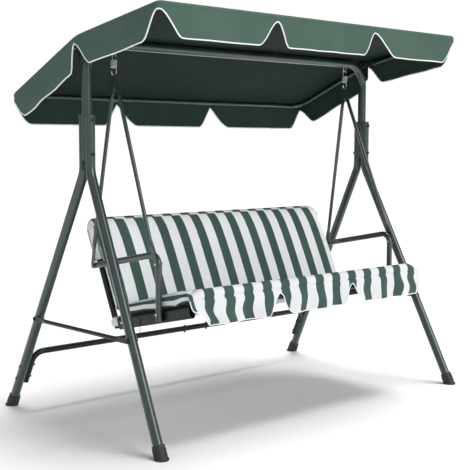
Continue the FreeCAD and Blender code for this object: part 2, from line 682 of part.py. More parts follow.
# Low rear bar in two halves: the left half takes the right half's spigot
rear_leg = leg_axis(1, 1, size["rear_bar_height"])
bar_corner_x = rear_leg.x - (size["tube"] + size["bar_tube"]) / 2 - size["fit_gap"]
bar_turn = math.acos(-leg_direction(1, 1).x)
bar_setback = size["rear_bar_radius"] * math.tan(bar_turn / 2)
dim("rear_bar_turn", math.degrees(bar_turn))
dim("rear_bar_end_run", size["rear_bar_end"] - bar_setback)
dim("rear_bar_run_left", bar_corner_x + size["rear_bar_joint"] - bar_setback)
dim("rear_bar_run_right", bar_corner_x - size["rear_bar_joint"] - bar_setback)
for side_name, side in SIDES:
    down = leg_direction(side, 1) * -1
    start = Vector(size["rear_bar_joint"], rear_leg.y, size["rear_bar_height"])
    half = bent_tube(f"rear_bar_{side_name}_tube", [f"rear_bar_run_{side_name}", "rear_bar_end_run"],
                     [("rear_bar_radius", "rear_bar_turn")], "bar_tube", "thin_wall",
                     Placement(start, aim(ALONG_X * side, down)))
    if side > 0:
        lap = size["rear_bar_spigot"]
        spigot = hollow("rear_bar_spigot", "Dims.bar_tube / 2 - Dims.thin_wall - Dims.fit_gap",
                        "Dims.bar_tube / 2 - 2 * Dims.thin_wall - Dims.fit_gap",
                        "Dims.rear_bar_spigot + Dims.rear_bar_socket",
                        start - ALONG_X * lap, ALONG_X)
        sleeve = hollow("rear_bar_sleeve", "Dims.bar_tube / 2 - Dims.thin_wall / 2",
                        "Dims.bar_tube / 2 - 2 * Dims.thin_wall", "Dims.rear_bar_sleeve",
                        start + ALONG_X * size["rear_bar_sleeve_inset"], ALONG_X)
        half = fuse("rear_bar_with_spigot", [half, spigot, sleeve])
    holes = []
    for x in rear_bar_joint_bolts:
        low = Vector(x, rear_leg.y, size["rear_bar_height"] - size["drill_half"])
        holes.append((low, ALONG_Z, bolt_hole("bolt_small"), "Dims.drill_reach"))
        if side > 0:
            head_seat = Vector(x, rear_leg.y, size["rear_bar_height"] + size["bar_tube"] / 2)
            keep_bolt(f"joint_bolt_{x:.0f}", head_seat, ALONG_Z * -1, size["bar_tube"], "bolt_small",
                      stand_bolts, stand_nuts)
    for height in rear_bar_bolt_heights:
        on_leg = leg_axis(side, 1, height)
        holes.append((on_leg - ALONG_X * (side * size["rear_bar_drill"]), ALONG_X * side,
                      bolt_hole("bolt_small"), "Dims.rear_bar_drill"))
        head_seat = on_leg + ALONG_X * (side * (size["tube"] / 2 + size["lean_gap"]))
        keep_bolt(f"rear_leg_bolt_{side_name}_{height:.0f}", head_seat, ALONG_X * -side,
                  size["tube"] + size["bar_tube"] + size["fit_gap"] + 2 * size["lean_gap"], "bolt_small",
                  stand_bolts, stand_nuts)
    node(drill(f"rear_bar_{side_name}", half, holes), f"rear_bar_{side_name}")

node(group("stand_bolt_set", stand_bolts), "stand_bolts")
node(group("stand_nut_set", stand_nuts), "stand_nuts")


# ---------------------------------------------------------------- springs
def half_ring(name, centre, x_axis, z_axis):
    """Half a ring of spring wire, from the local X side over the local Y side."""
    ring = doc.addObject("Part::Torus", name)
    bind(ring, Radius1="Dims.coil_radius", Radius2="Dims.coil_wire / 2")
    ring.Angle3 = 180
    ring.Placement = Placement(centre, Rotation(x_axis, z_axis.cross(x_axis), z_axis, "ZXY"))
    return ring


hook_top = size["eye_height"] + size["eye_wire"] / 2 + size["hook_top_gap"] + size["coil_wire"] / 2
dim("hook_top_rise", hook_top - size["coil_radius"] - size["coil_top"])
dim("hook_low_drop", size["coil_top"] - size["coil_height"] - size["hook_low"] - size["coil_radius"])
for side_name, side in SIDES:
    middle = Vector(side * size["spring_across"], 0, 0)
    low = middle + ALONG_Z * (size["coil_top"] - size["coil_height"])
    high = middle + ALONG_Z * size["coil_top"]
    helix = doc.addObject("Part::Helix", f"spring_{side_name}_helix")
    bind(helix, Radius="Dims.coil_radius", Pitch="Dims.coil_pitch", Height="Dims.coil_height")
    helix.Placement = Placement(low, Rotation())
    wire = doc.addObject("Part::Circle", f"spring_{side_name}_wire")
    bind(wire, Radius="Dims.coil_wire / 2")
    wire.Placement = Placement(low + ALONG_X * size["coil_radius"], Rotation(ALONG_Z, ALONG_Y))
    coil = doc.addObject("Part::Sweep", f"spring_{side_name}_coil")
    coil.Sections = [wire]
    coil.Spine = (helix, ["Edge1"])
    coil.Solid = True
    coil.Frenet = True
    upper_start = high + ALONG_Y * size["coil_radius"]
    upper_turn = high + ALONG_Z * size["hook_top_rise"]
    lower_start = low + ALONG_X * size["coil_radius"]
    lower_turn = low - ALONG_Z * size["hook_low_drop"]
    parts = [
        coil,
        cylinder(f"spring_{side_name}_rise", "Dims.coil_wire / 2", "Dims.hook_top_rise", upper_start),
        half_ring(f"spring_{side_name}_top", upper_turn, ALONG_Y, ALONG_X),
        cylinder(f"spring_{side_name}_top_tail", "Dims.coil_wire / 2", "Dims.hook_tail",
                 upper_turn - ALONG_Y * size["coil_radius"], ALONG_Z * -1),
        cylinder(f"spring_{side_name}_drop", "Dims.coil_wire / 2", "Dims.hook_low_drop", lower_start,
                 ALONG_Z * -1),
        half_ring(f"spring_{side_name}_bottom", lower_turn, ALONG_X, ALONG_Y),
        cylinder(f"spring_{side_name}_low_tail", "Dims.coil_wire / 2", "Dims.hook_tail",
                 lower_turn - ALONG_X * size["coil_radius"]),
    ]
    node(fuse(f"spring_{side_name}", parts), f"spring_{side_name}")


# ---------------------------------------------------------------- seat frame
slope = math.radians(size["seat_slope"])
seat_forward = Vector(0, -math.cos(slope), math.sin(slope))
seat_normal = Vector(0, math.sin(slope), math.cos(slope))
back_lean = math.radians(size["back_slope"])
back_up = Vector(0, math.sin(back_lean), math.cos(back_lean))
back_front = Vector(0, -math.cos(back_lean), math.sin(back_lean))


def seat_point(x, y, lift=0.0):
    """A point on the side rails' centre plane, lifted square to the seat."""
    return Vector(x, y, size["rail_middle_height"] - y * math.tan(slope)) + seat_normal * lift


def back_point(x, up, forward=0.0):
    """A point on the backrest's tube plane."""
    foot = Vector(x, size["back_foot_along"], size["back_foot_height"])
    return foot + back_up * up + back_front * forward


dim("rail_length", (size["rail_front"] - size["rail_rear"]) / math.cos(slope))
dim("back_side_run", size["back_tube_top"] + size["back_tube_foot"] - size["back_radius"])
dim("back_top_run", 2 * (size["rail_across"] - size["back_radius"]))
arm_rise = math.atan2(size["arm_corner_height"] - size["arm_rear_height"],
                      size["arm_front_along"] + size["arm_rear_along"])
arm_setback = size["arm_radius"] * math.tan((math.pi / 2 + arm_rise) / 2)
arm_level = math.hypot(size["arm_corner_height"] - size["arm_rear_height"],
                       size["arm_front_along"] + size["arm_rear_along"])
dim("arm_turn", 90 + math.degrees(arm_rise))
dim("arm_level_run", arm_level + size["arm_overhang"] - arm_setback)
dim("arm_post_run", size["arm_corner_height"] - size["arm_foot_height"] - arm_setback)
seat_bolts = []
seat_nuts = []

for side_name, side in SIDES:
    rail_x = side * size["rail_across"]
    arm_x = side * size["arm_across"]
    inward = ALONG_X * -side
    arm_face = arm_x + side * size["bar_tube"] / 2
    hanger_x = {"front": arm_face + side * (size["flat_gap"] + size["flat_thick"] / 2),
                "rear": arm_face + side * (2 * size["flat_gap"] + size["flat_thick"] * 1.5)}
    rear_pin = Vector(0, size["arm_rear_along"], size["arm_rear_height"])
    front_pin = Vector(0, -size["arm_front_along"], size["hanger_bolt_height"])
    rail_pin = seat_point(0, -size["rail_bolt_along"])
    arm_pin = Vector(0, -size["arm_front_along"], size["arm_bolt_height"])
    small = bolt_hole("bolt_small")

    rail_outer = obround(f"rail_{side_name}_outer", "Dims.rail_wide", "Dims.rail_tall", "Dims.rail_length",
                         Placement(seat_point(rail_x, -size["rail_rear"]), aim(seat_forward, ALONG_X)))
    rail_inner = obround(f"rail_{side_name}_inner", "Dims.rail_wide - 2 * Dims.thin_wall",
                         "Dims.rail_tall - 2 * Dims.thin_wall", "Dims.rail_length",
                         Placement(seat_point(rail_x, -size["rail_rear"]), aim(seat_forward, ALONG_X)))
    rail_tube = cut(f"rail_{side_name}_tube", rail_outer, rail_inner)
    rail = drill(f"rail_{side_name}", rail_tube,
                 [(Vector(rail_x - size["drill_half"], pin.y, pin.z), ALONG_X, small, "Dims.drill_reach")
                  for pin in (rail_pin, arm_pin)])
    node(rail, f"seat_rail_{side_name}")
    cap_plate = obround(f"rail_cap_{side_name}_plate", "Dims.rail_wide", "Dims.rail_tall", "Dims.rail_cap",
                        Placement(seat_point(rail_x, -size["rail_rear"]) - seat_forward * size["rail_cap"],
                                  aim(seat_forward, ALONG_X)))
    plug_trim = "2 * (Dims.thin_wall + Dims.rail_plug_slack)"
    cap_plug = obround(f"rail_cap_{side_name}_plug", f"Dims.rail_wide - {plug_trim}",
                       f"Dims.rail_tall - {plug_trim}",
                       "Dims.rail_plug",
                       Placement(seat_point(rail_x, -size["rail_rear"]) - seat_forward,
                                 aim(seat_forward, ALONG_X)))
    node(fuse(f"rail_cap_{side_name}", [cap_plate, cap_plug]), f"rail_cap_{side_name}")

    # Armrest: one tube up from the backrest and down to the side rail
    arm_back = Vector(0, -math.cos(arm_rise), math.sin(arm_rise))
    arm_start = Vector(arm_x, rear_pin.y, rear_pin.z) - arm_back * size["arm_overhang"]
    arm_tube = bent_tube(f"armrest_{side_name}_tube", ["arm_level_run", "arm_post_run"],
                         [("arm_radius", "arm_turn")], "bar_tube", "thin_wall",
                         Placement(arm_start, aim(arm_back, ALONG_Z * -1)))
    arm = drill(f"armrest_{side_name}", arm_tube,
                [(Vector(arm_x - size["drill_half"], pin.y, pin.z), ALONG_X, small, "Dims.drill_reach")
                 for pin in (rear_pin, front_pin, arm_pin)])
    node(arm, f"armrest_{side_name}")

    # Both hangers lean in from the armrest to the spring
    lean_in = side * (size["spring_across"] + size["flat_thick"] / 2) - hanger_x["rear"]
    for end_name, pin in (("front", front_pin), ("rear", rear_pin)):
        apex = Vector(hanger_x[end_name] + lean_in, 0, size["hook_low"] - size["hanger_hole_drop"])
        foot = Vector(hanger_x[end_name], pin.y, pin.z)
        hanger = strut(f"hanger_{end_name}_{side_name}", "hanger_tube", "hanger_wall", apex, foot, ALONG_X,
                       [(apex, "Dims.hanger_hole"), (foot, small)])
        node(hanger, f"hanger_{end_name}_{side_name}")

    # Backrest lug on the inner face of the side rail
    lug_start = rail_x - side * (size["rail_wide"] + size["lug_thick"]) / 2 - size["lug_thick"] / 2
    back_corner = back_point(0, -size["lower_tube_drop"])
    lug_middle = (back_corner + rail_pin) * 0.5
    lug_reach = dim(f"lug_reach_{side_name}", back_corner.distanceToPoint(rail_pin))
    lug_blank = obround(f"back_lug_{side_name}_blank", "Dims.lug_wide", f"{lug_reach} + Dims.lug_wide",
                        "Dims.lug_thick",
                        Placement(Vector(lug_start, lug_middle.y, lug_middle.z),
                                  aim(ALONG_X, (rail_pin - back_corner).cross(ALONG_X))))
    lug = drill(f"back_lug_{side_name}", lug_blank,
                [(Vector(lug_start - size["drill_half"], rail_pin.y, rail_pin.z), ALONG_X, small,
                  "Dims.drill_reach")])
    node(lug, f"back_lug_{side_name}")

    outer_face = rail_x + side * size["rail_wide"] / 2
    keep_bolt(f"rail_bolt_{side_name}", Vector(outer_face, rail_pin.y, rail_pin.z), inward,
              size["rail_wide"] + size["lug_thick"], "bolt_small", seat_bolts, seat_nuts)
    keep_bolt(f"arm_bolt_{side_name}", Vector(arm_face, arm_pin.y, arm_pin.z), inward,
              size["bar_tube"] + size["rail_wide"], "bolt_small", seat_bolts, seat_nuts)
    for end_name, pin, depth in (("front", front_pin, size["bar_tube"]),
                                 ("rear", rear_pin, 2 * size["bar_tube"])):
        stack = abs(hanger_x[end_name] - arm_face) + size["flat_thick"] / 2 + size["flat_gap"]
        keep_bolt(f"{end_name}_bolt_{side_name}", Vector(arm_face + side * stack, pin.y, pin.z), inward,
                  stack + depth, "bolt_small", seat_bolts, seat_nuts)

cross_half = size["rail_across"] - size["rail_wide"] / 2
dim("cross_length", 2 * cross_half)
dim("lower_tube_length", 2 * (cross_half - size["lug_thick"]))
node(hollow("front_cross", "Dims.bar_tube / 2", "Dims.bar_tube / 2 - Dims.thin_wall", "Dims.cross_length",
            Vector(-cross_half, -size["cross_along"], size["cross_height"]), ALONG_X), "front_cross_rail")

hoop_start = back_point(-size["rail_across"], -size["back_tube_foot"])
back_hoop = bent_tube("back_hoop", ["back_side_run", "back_top_run", "back_side_run"],
                      [("back_radius", "right_angle"), ("back_radius", "right_angle")], "bar_tube",
                      "back_wall",
                      Placement(hoop_start, aim(back_up, ALONG_X)))
node(drill("back_hoop_drilled", back_hoop,
           [(Vector(side * size["rail_across"] - size["drill_half"], size["arm_rear_along"],
                    size["arm_rear_height"]),
             ALONG_X, bolt_hole("bolt_small"), "Dims.drill_reach") for side in (-1, 1)]), "back_frame")
lower_half = cross_half - size["lug_thick"]
lower_middle = back_point(0, -size["lower_tube_drop"])
node(hollow("lower_tube", "Dims.bar_tube / 2", "Dims.bar_tube / 2 - Dims.thin_wall",
            "Dims.lower_tube_length",
            lower_middle - ALONG_X * lower_half, ALONG_X), "back_lower_tube")

dim("sling_length", (size["rail_front"] - size["sling_rear"]) / math.cos(slope))
sling_corner = seat_point(-size["cover_across"], -size["sling_rear"], size["rail_tall"] / 2)
node(box("sling", "2 * Dims.cover_across", "Dims.sling_length", "Dims.sling_thick",
         sling_corner + seat_forward * size["sling_length"], aim(seat_normal, ALONG_X)), "seat_sling")
node(group("seat_bolt_set", seat_bolts), "seat_bolts")
node(group("seat_nut_set", seat_nuts), "seat_nuts")

# ---------------------------------------------------------------- seat cover
cushion_base = size["rail_tall"] / 2 + size["sling_thick"]
dim("cushion_filling_across", size["cover_across"] - size["cushion_skin"])
dim("cushion_filling_round", size["cushion_round"] - size["cushion_skin"])


def cushion_slab(name, half_width, rounding, inset):
    """The seat pad's rounded slab, with an upright front, all its faces moved in by the inset."""
    origin = seat_point(0, -size["cushion_rear"], cushion_base)
    front = -size["cushion_front"] + inset
    corners = []
    for level, lift in (("low", cushion_base + inset),
                        ("high", cushion_base + size["cushion_thick"] - inset)):
        rear = seat_point(0, -size["cushion_rear"], lift) + seat_forward * inset
        run = front - rear.y
        points = {"rear": rear, "front": rear + Vector(0, run, -run * math.tan(slope))}
        for end, point in points.items():
            dim(f"{name}_{end}_{level}_y", point.y - origin.y)
            dim(f"{name}_{end}_{level}_z", point.z - origin.z)
        corners.append([(f"{name}_{end}_{level}_y", f"{name}_{end}_{level}_z") for end in points])
    body, pad = profile_bar(name, corners[0] + corners[1][::-1], half_width, Placement(origin, Rotation()))
    round_edges(body, pad, 12, rounding)
    return body


# A padded cover round a filling of light foam, whose space is left free
node(cut("seat_pad", cushion_slab("cushion_cover", "cover_across", "cushion_round", 0),
         cushion_slab("cushion_filling", "cushion_filling_across", "cushion_filling_round",
                      size["cushion_skin"])), "seat_cushion")

dim("back_pad_length", size["back_pad_top"] - size["back_pad_low"])
pad_face = size["bar_tube"] / 2 + size["pad_gap"]
pad_middle = back_point(0, (size["back_pad_top"] + size["back_pad_low"]) / 2, pad_face)
back_pad = padded_slab("back_pad", "cover_across", "back_pad_length", "back_pad_thick", "cushion_round",
                       Placement(pad_middle, aim(back_front, ALONG_X)))
hood_half = size["rail_across"] + size["bar_tube"] / 2 + size["pad_gap"]
dim("hood_inner", 2 * hood_half)
dim("hood_outer", 2 * (hood_half + size["hood_thick"]))
dim("hood_height", size["back_pad_top"] - size["hood_low"])
dim("hood_depth", 2 * pad_face)
hood_turn = aim(back_up, ALONG_X)
hood_outer = box("hood_outer", "Dims.hood_outer",
                 "Dims.hood_depth + Dims.hood_thick + Dims.back_pad_thick / 2",
                 "Dims.hood_height",
                 back_point(-hood_half - size["hood_thick"], size["hood_low"],
                            pad_face + size["back_pad_thick"] / 2), hood_turn)
hood_inner = box("hood_inner", "Dims.hood_inner", "Dims.hood_depth", "Dims.hood_height - Dims.hood_thick",
                 back_point(-hood_half, size["hood_low"], pad_face), hood_turn)
node(fuse("back_cover", [back_pad, cut("hood", hood_outer, hood_inner)]), "back_cushion")

roll_half = size["roll_across"]
node(hollow("rear_roll", "Dims.roll_radius", "Dims.bar_tube / 2 + Dims.fit_gap", "2 * Dims.roll_across",
            lower_middle - ALONG_X * roll_half, ALONG_X), "cover_rear_roll")

tie_x = -(size["rail_across"] + size["rail_wide"] / 2 + size["fit_gap"] + size["tie_thick"])
node(box("tie", "Dims.tie_thick", "Dims.tie_wide", "Dims.tie_length",
         Vector(tie_x, -size["tie_along"], size["tie_top"] - size["tie_length"])), "cover_tie")


# ---------------------------------------------------------------- scalloped flaps
def notch_share(distance, width):
    """0 at a notch's top, 1 from its half width on, smooth at both."""
    share = min(abs(distance) / width, 1.0)
    return share * share * (3 - 2 * share)


def flap_shapes(half, notches, width, drop, apex, top, along, face, thick, sides_open):
    """Panel and piping of one scalloped flap, as two solids.

    half: (start, end) along the edge. notches: their centres. top: height of the upper edge at a station.
    along, face: unit vectors along the edge and out of the cloth. The flap's origin is the edge's own.
    """
    start, end = half
    stations = {start, end}
    for centre in notches:
        for step in range(-NOTCH_STEPS, NOTCH_STEPS + 1):
            stations.add(min(max(centre + step * width / NOTCH_STEPS, start), end))
    stations = sorted(stations)

    def depth(station):
        return apex + (drop - apex) * min(notch_share(station - centre, width) for centre in notches)

    lower = [(station, top(station) - depth(station)) for station in stations]
    band = []
    for i, (station, height) in enumerate(lower):
        before = lower[max(i - 1, 0)]
        after = lower[min(i + 1, len(lower) - 1)]
        rise = math.atan2(after[1] - before[1], after[0] - before[0])
        if i in (0, len(lower) - 1):
            shift = (0, size["piping"])
        else:
            shift = (-math.sin(rise) * size["piping"], math.cos(rise) * size["piping"])
        band.append((station + shift[0], height + shift[1]))

    def place(pair):
        return along * pair[0] + ALONG_Z * pair[1]

    def solid(outline):
        corners = [place(pair) for pair in outline]
        return Part.Face(Part.makePolygon(corners + corners[:1])).extrude(face * thick)

    crest = [(station, top(station)) for station in sides_open]
    panel = solid(band + crest[::-1])
    piping = solid(lower + band[::-1])
    return panel, piping


def feature(name, shape, position):
    obj = doc.addObject("Part::Feature", name)
    obj.Shape = shape
    obj.Placement = Placement(position, Rotation())
    return obj


front_rise = math.tan(math.radians(size["canopy_front_slope"]))
rear_fall = math.tan(math.radians(size["canopy_rear_slope"]))
roof_front = size["canopy_half"] * math.cos(math.radians(size["canopy_front_slope"]))
roof_rear = size["canopy_half"] * math.cos(math.radians(size["canopy_rear_slope"]))


def roof_height(y):
    """Top of the roof over the ridge's height, at a distance along Y."""
    return -y * front_rise if y < 0 else -y * rear_fall


skirt = flap_shapes((-size["cover_across"], size["cover_across"]),
                    (-size["skirt_notch_across"], size["skirt_notch_across"]),
                    size["skirt_notch_width"], size["skirt_drop"], size["skirt_notch_depth"], lambda x: 0.0,
                    ALONG_X, ALONG_Y * -1, size["skirt_thick"],
                    (-size["cover_across"], size["cover_across"]))
skirt_place = Vector(0, -size["skirt_plane"], size["skirt_top"])
node(feature("skirt_panel", skirt[0], skirt_place), "seat_valance")
node(feature("skirt_piping", skirt[1], skirt_place), "valance_piping")

# ---------------------------------------------------------------- canopy
roof_corners = []
for face, drop in (("top", 0.0), ("under", size["cloth"])):
    row = []
    for name, y in (("front", -roof_front), ("ridge", 0.0), ("rear", roof_rear)):
        dim(f"roof_{name}_{face}_y", y)
        dim(f"roof_{name}_{face}_z", roof_height(y) - drop)
        row.append((f"roof_{name}_{face}_y", f"roof_{name}_{face}_z"))
    roof_corners.append(row)
roof, roof_pad = profile_bar("roof", roof_corners[0] + roof_corners[1][::-1], "canopy_across",
                             Placement(Vector(0, 0, size["canopy_ridge"]), Rotation()))
node(roof, "canopy_roof")

notch_x = size["flap_notch_across"]
flap_style = (size["flap_notch_width"], size["flap_drop"], size["flap_apex"])
across = (-size["canopy_across"], size["canopy_across"])
deep = (-roof_front - size["cloth"], roof_rear + size["cloth"])
pipings = []
for end_name, plane, outward in (("front", -roof_front, -1), ("rear", roof_rear, 1)):
    panel, piping = flap_shapes(across, (across[0], -notch_x, notch_x, across[1]), *flap_style,
                                lambda x: 0.0, ALONG_X, ALONG_Y * outward, size["cloth"], across)
    position = Vector(0, plane, size["canopy_ridge"] + roof_height(plane))
    node(feature(f"flap_{end_name}", panel, position), f"canopy_valance_{end_name}")
    pipings.append(feature(f"flap_piping_{end_name}", piping, position))
for side_name, side in SIDES:
    panel, piping = flap_shapes(deep, (deep[0], 0.0, deep[1]), *flap_style, roof_height, ALONG_Y,
                                ALONG_X * side, size["cloth"], (deep[0], 0.0, deep[1]))
    position = Vector(side * size["canopy_across"], 0, size["canopy_ridge"])
    node(feature(f"flap_{side_name}", panel, position), f"canopy_valance_{side_name}")
    pipings.append(feature(f"flap_piping_{side_name}", piping, position))
node(group("canopy_piping_set", pipings), "canopy_piping")

# U-shaped bars under the cloth's front and rear edges, their ends flattened on the pivot bolts
pivot_height = size["beam_height"]
bar_drop = size["cloth"] + size["canopy_bar"] / 2 + size["pad_gap"]
edge_inset = size["canopy_bar"] / 2 + size["bar_edge_inset"]
bar_middles = {}
for end_name, sign, reach, tilt in (("front", -1, roof_front, size["canopy_front_slope"]),
                                    ("rear", 1, roof_rear, size["canopy_rear_slope"])):
    y = sign * (reach - edge_inset)
    height = size["canopy_ridge"] + roof_height(y) - bar_drop / math.cos(math.radians(tilt))
    bar_middles[end_name] = Vector(0, y, height)
dim("canopy_bar_cross_run", 2 * (size["canopy_bar_across"] - size["canopy_bar_radius"]))
for end_name, middle in bar_middles.items():
    reach = middle - Vector(0, 0, pivot_height)
    outward = Vector(reach).normalize()
    dim(f"canopy_arm_run_{end_name}", reach.Length - size["canopy_bar_start"] - size["canopy_bar_radius"])
    start = Vector(-size["canopy_bar_across"], 0, pivot_height) + outward * size["canopy_bar_start"]
    bends = [("canopy_bar_radius", "right_angle"), ("canopy_bar_radius", "right_angle")]
    runs = [f"canopy_arm_run_{end_name}", "canopy_bar_cross_run", f"canopy_arm_run_{end_name}"]
    bar = bent_tube(f"canopy_bar_{end_name}_tube", runs, bends, "canopy_bar", "thin_wall",
                    Placement(start, aim(outward, ALONG_X)))
    pieces = [bar]
    holes = []
    for side_name, side in SIDES:
        inner = size[f"tongue_{end_name}_inner"]
        pivot = Vector(side * (inner + size["tongue_thick"] / 2), 0, pivot_height)
        pieces += flat_end(f"tongue_{end_name}_{side_name}", "tongue_thick", "tongue_wide",
                           "tongue_length", pivot, outward, ALONG_X)
        mouth = Vector(side * size["canopy_bar_across"], 0, pivot_height)
        mouth = mouth + outward * size["canopy_bar_start"]
        pieces.append(cylinder(f"tongue_{end_name}_{side_name}_plug", "Dims.canopy_bar / 2",
                               "Dims.bar_plug", mouth, outward))
        holes.append((pivot - ALONG_X * size["drill_half"], ALONG_X, bolt_hole("bolt_medium"),
                      "Dims.drill_reach"))
    node(drill(f"canopy_bar_{end_name}", fuse(f"canopy_bar_{end_name}_blank", pieces), holes),
         f"canopy_bar_{end_name}")

pivot_bolts = []
for side_name, side in SIDES:
    head_seat = size["tongue_rear_inner"] + size["tongue_thick"] + size["fit_gap"]
    inward = ALONG_X * -side
    head = hexagon(f"pivot_head_{side_name}", "Dims.bolt_medium * Dims.head_radius_share", "Dims.pivot_head",
                   Vector(side * (head_seat + size["pivot_head"]), 0, pivot_height), inward)
    shank = cylinder(f"pivot_shank_{side_name}", "Dims.bolt_medium / 2",
                     f"{head_seat} - Dims.knob_inner + Dims.pivot_tip",
                     Vector(side * head_seat, 0, pivot_height), inward)
    pivot_bolts.append(fuse(f"pivot_bolt_{side_name}", [head, shank]))
    knob_face = Vector(side * size["knob_inner"], 0, pivot_height)
    outward = ALONG_X * side
    blank = fuse(f"knob_{side_name}_blank", [
        cylinder(f"knob_{side_name}_head", "Dims.knob_radius", "Dims.knob_head", knob_face, outward),
        cylinder(f"knob_{side_name}_hub", "Dims.knob_hub_radius", "Dims.knob_head + Dims.knob_hub",
                 knob_face, outward)])
    cuts = [cylinder(f"knob_{side_name}_bore", "Dims.bolt_medium / 2 + Dims.nut_bore_slack",
                     "Dims.knob_head + Dims.knob_hub", knob_face, outward)]
    for i in range(KNOB_FLUTES):
        angle = 2 * math.pi * i / KNOB_FLUTES
        offset = Vector(0, math.cos(angle), math.sin(angle)) * (size["knob_radius"] + size["knob_flute_out"])
        cuts.append(cylinder(f"knob_{side_name}_flute_{i}", "Dims.knob_flute", "Dims.knob_head",
                             knob_face + offset, outward))
    node(cut(f"knob_{side_name}", blank, fuse(f"knob_{side_name}_cuts", cuts)), f"knob_{side_name}")
node(group("pivot_bolt_set", pivot_bolts), "canopy_bolts")

# ---------------------------------------------------------------- check and write
doc.recompute()
for obj in doc.Objects:
    if "Invalid" in obj.State or "Error" in obj.State:
        raise RuntimeError(f"{obj.Name} failed: {obj.State}")
for obj in nodes:
    if obj.Shape.isNull() or not obj.Shape.isValid():
        raise RuntimeError(f"{obj.Label} has no valid shape")
os.makedirs("parts", exist_ok=True)
for obj in nodes:
    obj.Shape.exportStep(f"parts/{obj.Label}.step")
print(f"{len(nodes)} sub-parts written")
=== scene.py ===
import json
import math

import bpy
import numpy as np
from mathutils import Matrix, Vector, noise


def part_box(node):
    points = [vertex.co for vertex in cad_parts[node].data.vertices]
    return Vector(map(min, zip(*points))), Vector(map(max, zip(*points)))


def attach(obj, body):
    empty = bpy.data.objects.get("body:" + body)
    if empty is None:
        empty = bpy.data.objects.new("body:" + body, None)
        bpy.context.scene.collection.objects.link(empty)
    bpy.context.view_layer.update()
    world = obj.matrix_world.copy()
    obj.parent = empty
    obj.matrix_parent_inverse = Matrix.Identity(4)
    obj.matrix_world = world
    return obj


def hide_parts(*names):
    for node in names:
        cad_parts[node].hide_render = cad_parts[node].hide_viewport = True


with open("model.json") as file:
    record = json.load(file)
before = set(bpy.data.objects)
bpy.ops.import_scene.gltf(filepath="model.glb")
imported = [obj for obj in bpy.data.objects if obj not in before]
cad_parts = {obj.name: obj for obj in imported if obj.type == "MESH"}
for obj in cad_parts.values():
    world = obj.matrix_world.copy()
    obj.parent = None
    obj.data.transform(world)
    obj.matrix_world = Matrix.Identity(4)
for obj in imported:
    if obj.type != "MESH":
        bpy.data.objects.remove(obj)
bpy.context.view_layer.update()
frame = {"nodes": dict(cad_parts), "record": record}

# Canopy swing bench. The front faces -Y, +X is the bench's right, and lengths are in metres.

NODES = frame["nodes"]

# ---------------------------------------------------------------- mesh helpers
WELD_DISTANCE = 1e-5
SHORT_SIDE = 0.1


def make_object(name, verts, faces, material, smooth=True):
    mesh = bpy.data.meshes.new(name)
    mesh.from_pydata([tuple(v) for v in verts], [], [tuple(f) for f in faces])
    mesh.update()
    obj = bpy.data.objects.new(name, mesh)
    bpy.context.scene.collection.objects.link(obj)
    mesh.materials.append(material)
    for polygon in mesh.polygons:
        polygon.use_smooth = smooth
    return obj


def grid_faces(rows, columns, wrap_rows=False, wrap_columns=False):
    """Quads of a grid stored row by row."""
    faces = []
    for i in range(rows if wrap_rows else rows - 1):
        row = i * columns
        next_row = (i + 1) % rows * columns
        for j in range(columns if wrap_columns else columns - 1):
            next_j = (j + 1) % columns
            faces.append((row + j, row + next_j, next_row + next_j, next_row + j))
    return faces


def end_caps(rows, columns):
    """The two faces that close the ends of a swept form."""
    last = (rows - 1) * columns
    return [tuple(range(columns)), tuple(last + k for k in reversed(range(columns)))]


def fix_normals(obj):
    bpy.context.view_layer.objects.active = obj
    bpy.ops.object.select_all(action="DESELECT")
    obj.select_set(True)
    bpy.ops.object.mode_set(mode="EDIT")
    bpy.ops.mesh.select_all(action="SELECT")
    bpy.ops.mesh.remove_doubles(threshold=WELD_DISTANCE)
    bpy.ops.mesh.normals_make_consistent(inside=False)
    bpy.ops.object.mode_set(mode="OBJECT")


def apply_modifiers(obj):
    graph = bpy.context.evaluated_depsgraph_get()
    mesh = bpy.data.meshes.new_from_object(obj.evaluated_get(graph))
    obj.modifiers.clear()
    obj.data = mesh


def solidify(obj, thickness):
    modifier = obj.modifiers.new("thickness", "SOLIDIFY")
    modifier.thickness = thickness
    modifier.offset = 0.0
    return modifier


def subdivide(obj):
    modifier = obj.modifiers.new("smooth", "SUBSURF")
    modifier.levels = 1
    modifier.render_levels = 1


def rope(name, points, radius, material, closed=False, sides=8):
    """A round welt swept along points."""
    count = len(points)
    verts = []
    up = Vector((0, 0, 1))
    for i, p in enumerate(points):
        before = points[(i - 1) % count] if closed or i else p
        after = points[(i + 1) % count] if closed or i < count - 1 else p
        ahead = (after - before).normalized()
        side = ahead.cross(up)
        # A nearly upright stretch takes its side from the Y axis instead
        if side.length < SHORT_SIDE:
            side = ahead.cross(Vector((0, 1, 0)))
        side.normalize()
        top = side.cross(ahead)
        for k in range(sides):
            angle = 2 * math.pi * k / sides
            verts.append(p + side * (math.cos(angle) * radius) + top * (math.sin(angle) * radius))
    faces = grid_faces(count, sides, wrap_rows=closed, wrap_columns=True)
    if not closed:
        faces += end_caps(count, sides)
    obj = make_object(name, verts, faces, material)
    fix_normals(obj)
    return obj


def read_points(obj):
    points = np.empty(len(obj.data.vertices) * 3)
    obj.data.vertices.foreach_get("co", points)
    return points.reshape(-1, 3)


def smooth_step(t):
    t = min(max(t, 0.0), 1.0)
    return t * t * (3 - 2 * t)


def toward(value, centre, distance):
    """Moves a value towards a centre by a distance, but not past it."""
    return value + math.copysign(min(distance, abs(value - centre)), centre - value)


def ruffle(a, a_rate, b, b_rate, layer):
    """Smooth noise over two lengths, each with its own rate; another layer gives another pattern."""
    return noise.noise(Vector((a * a_rate, b * b_rate, layer)))


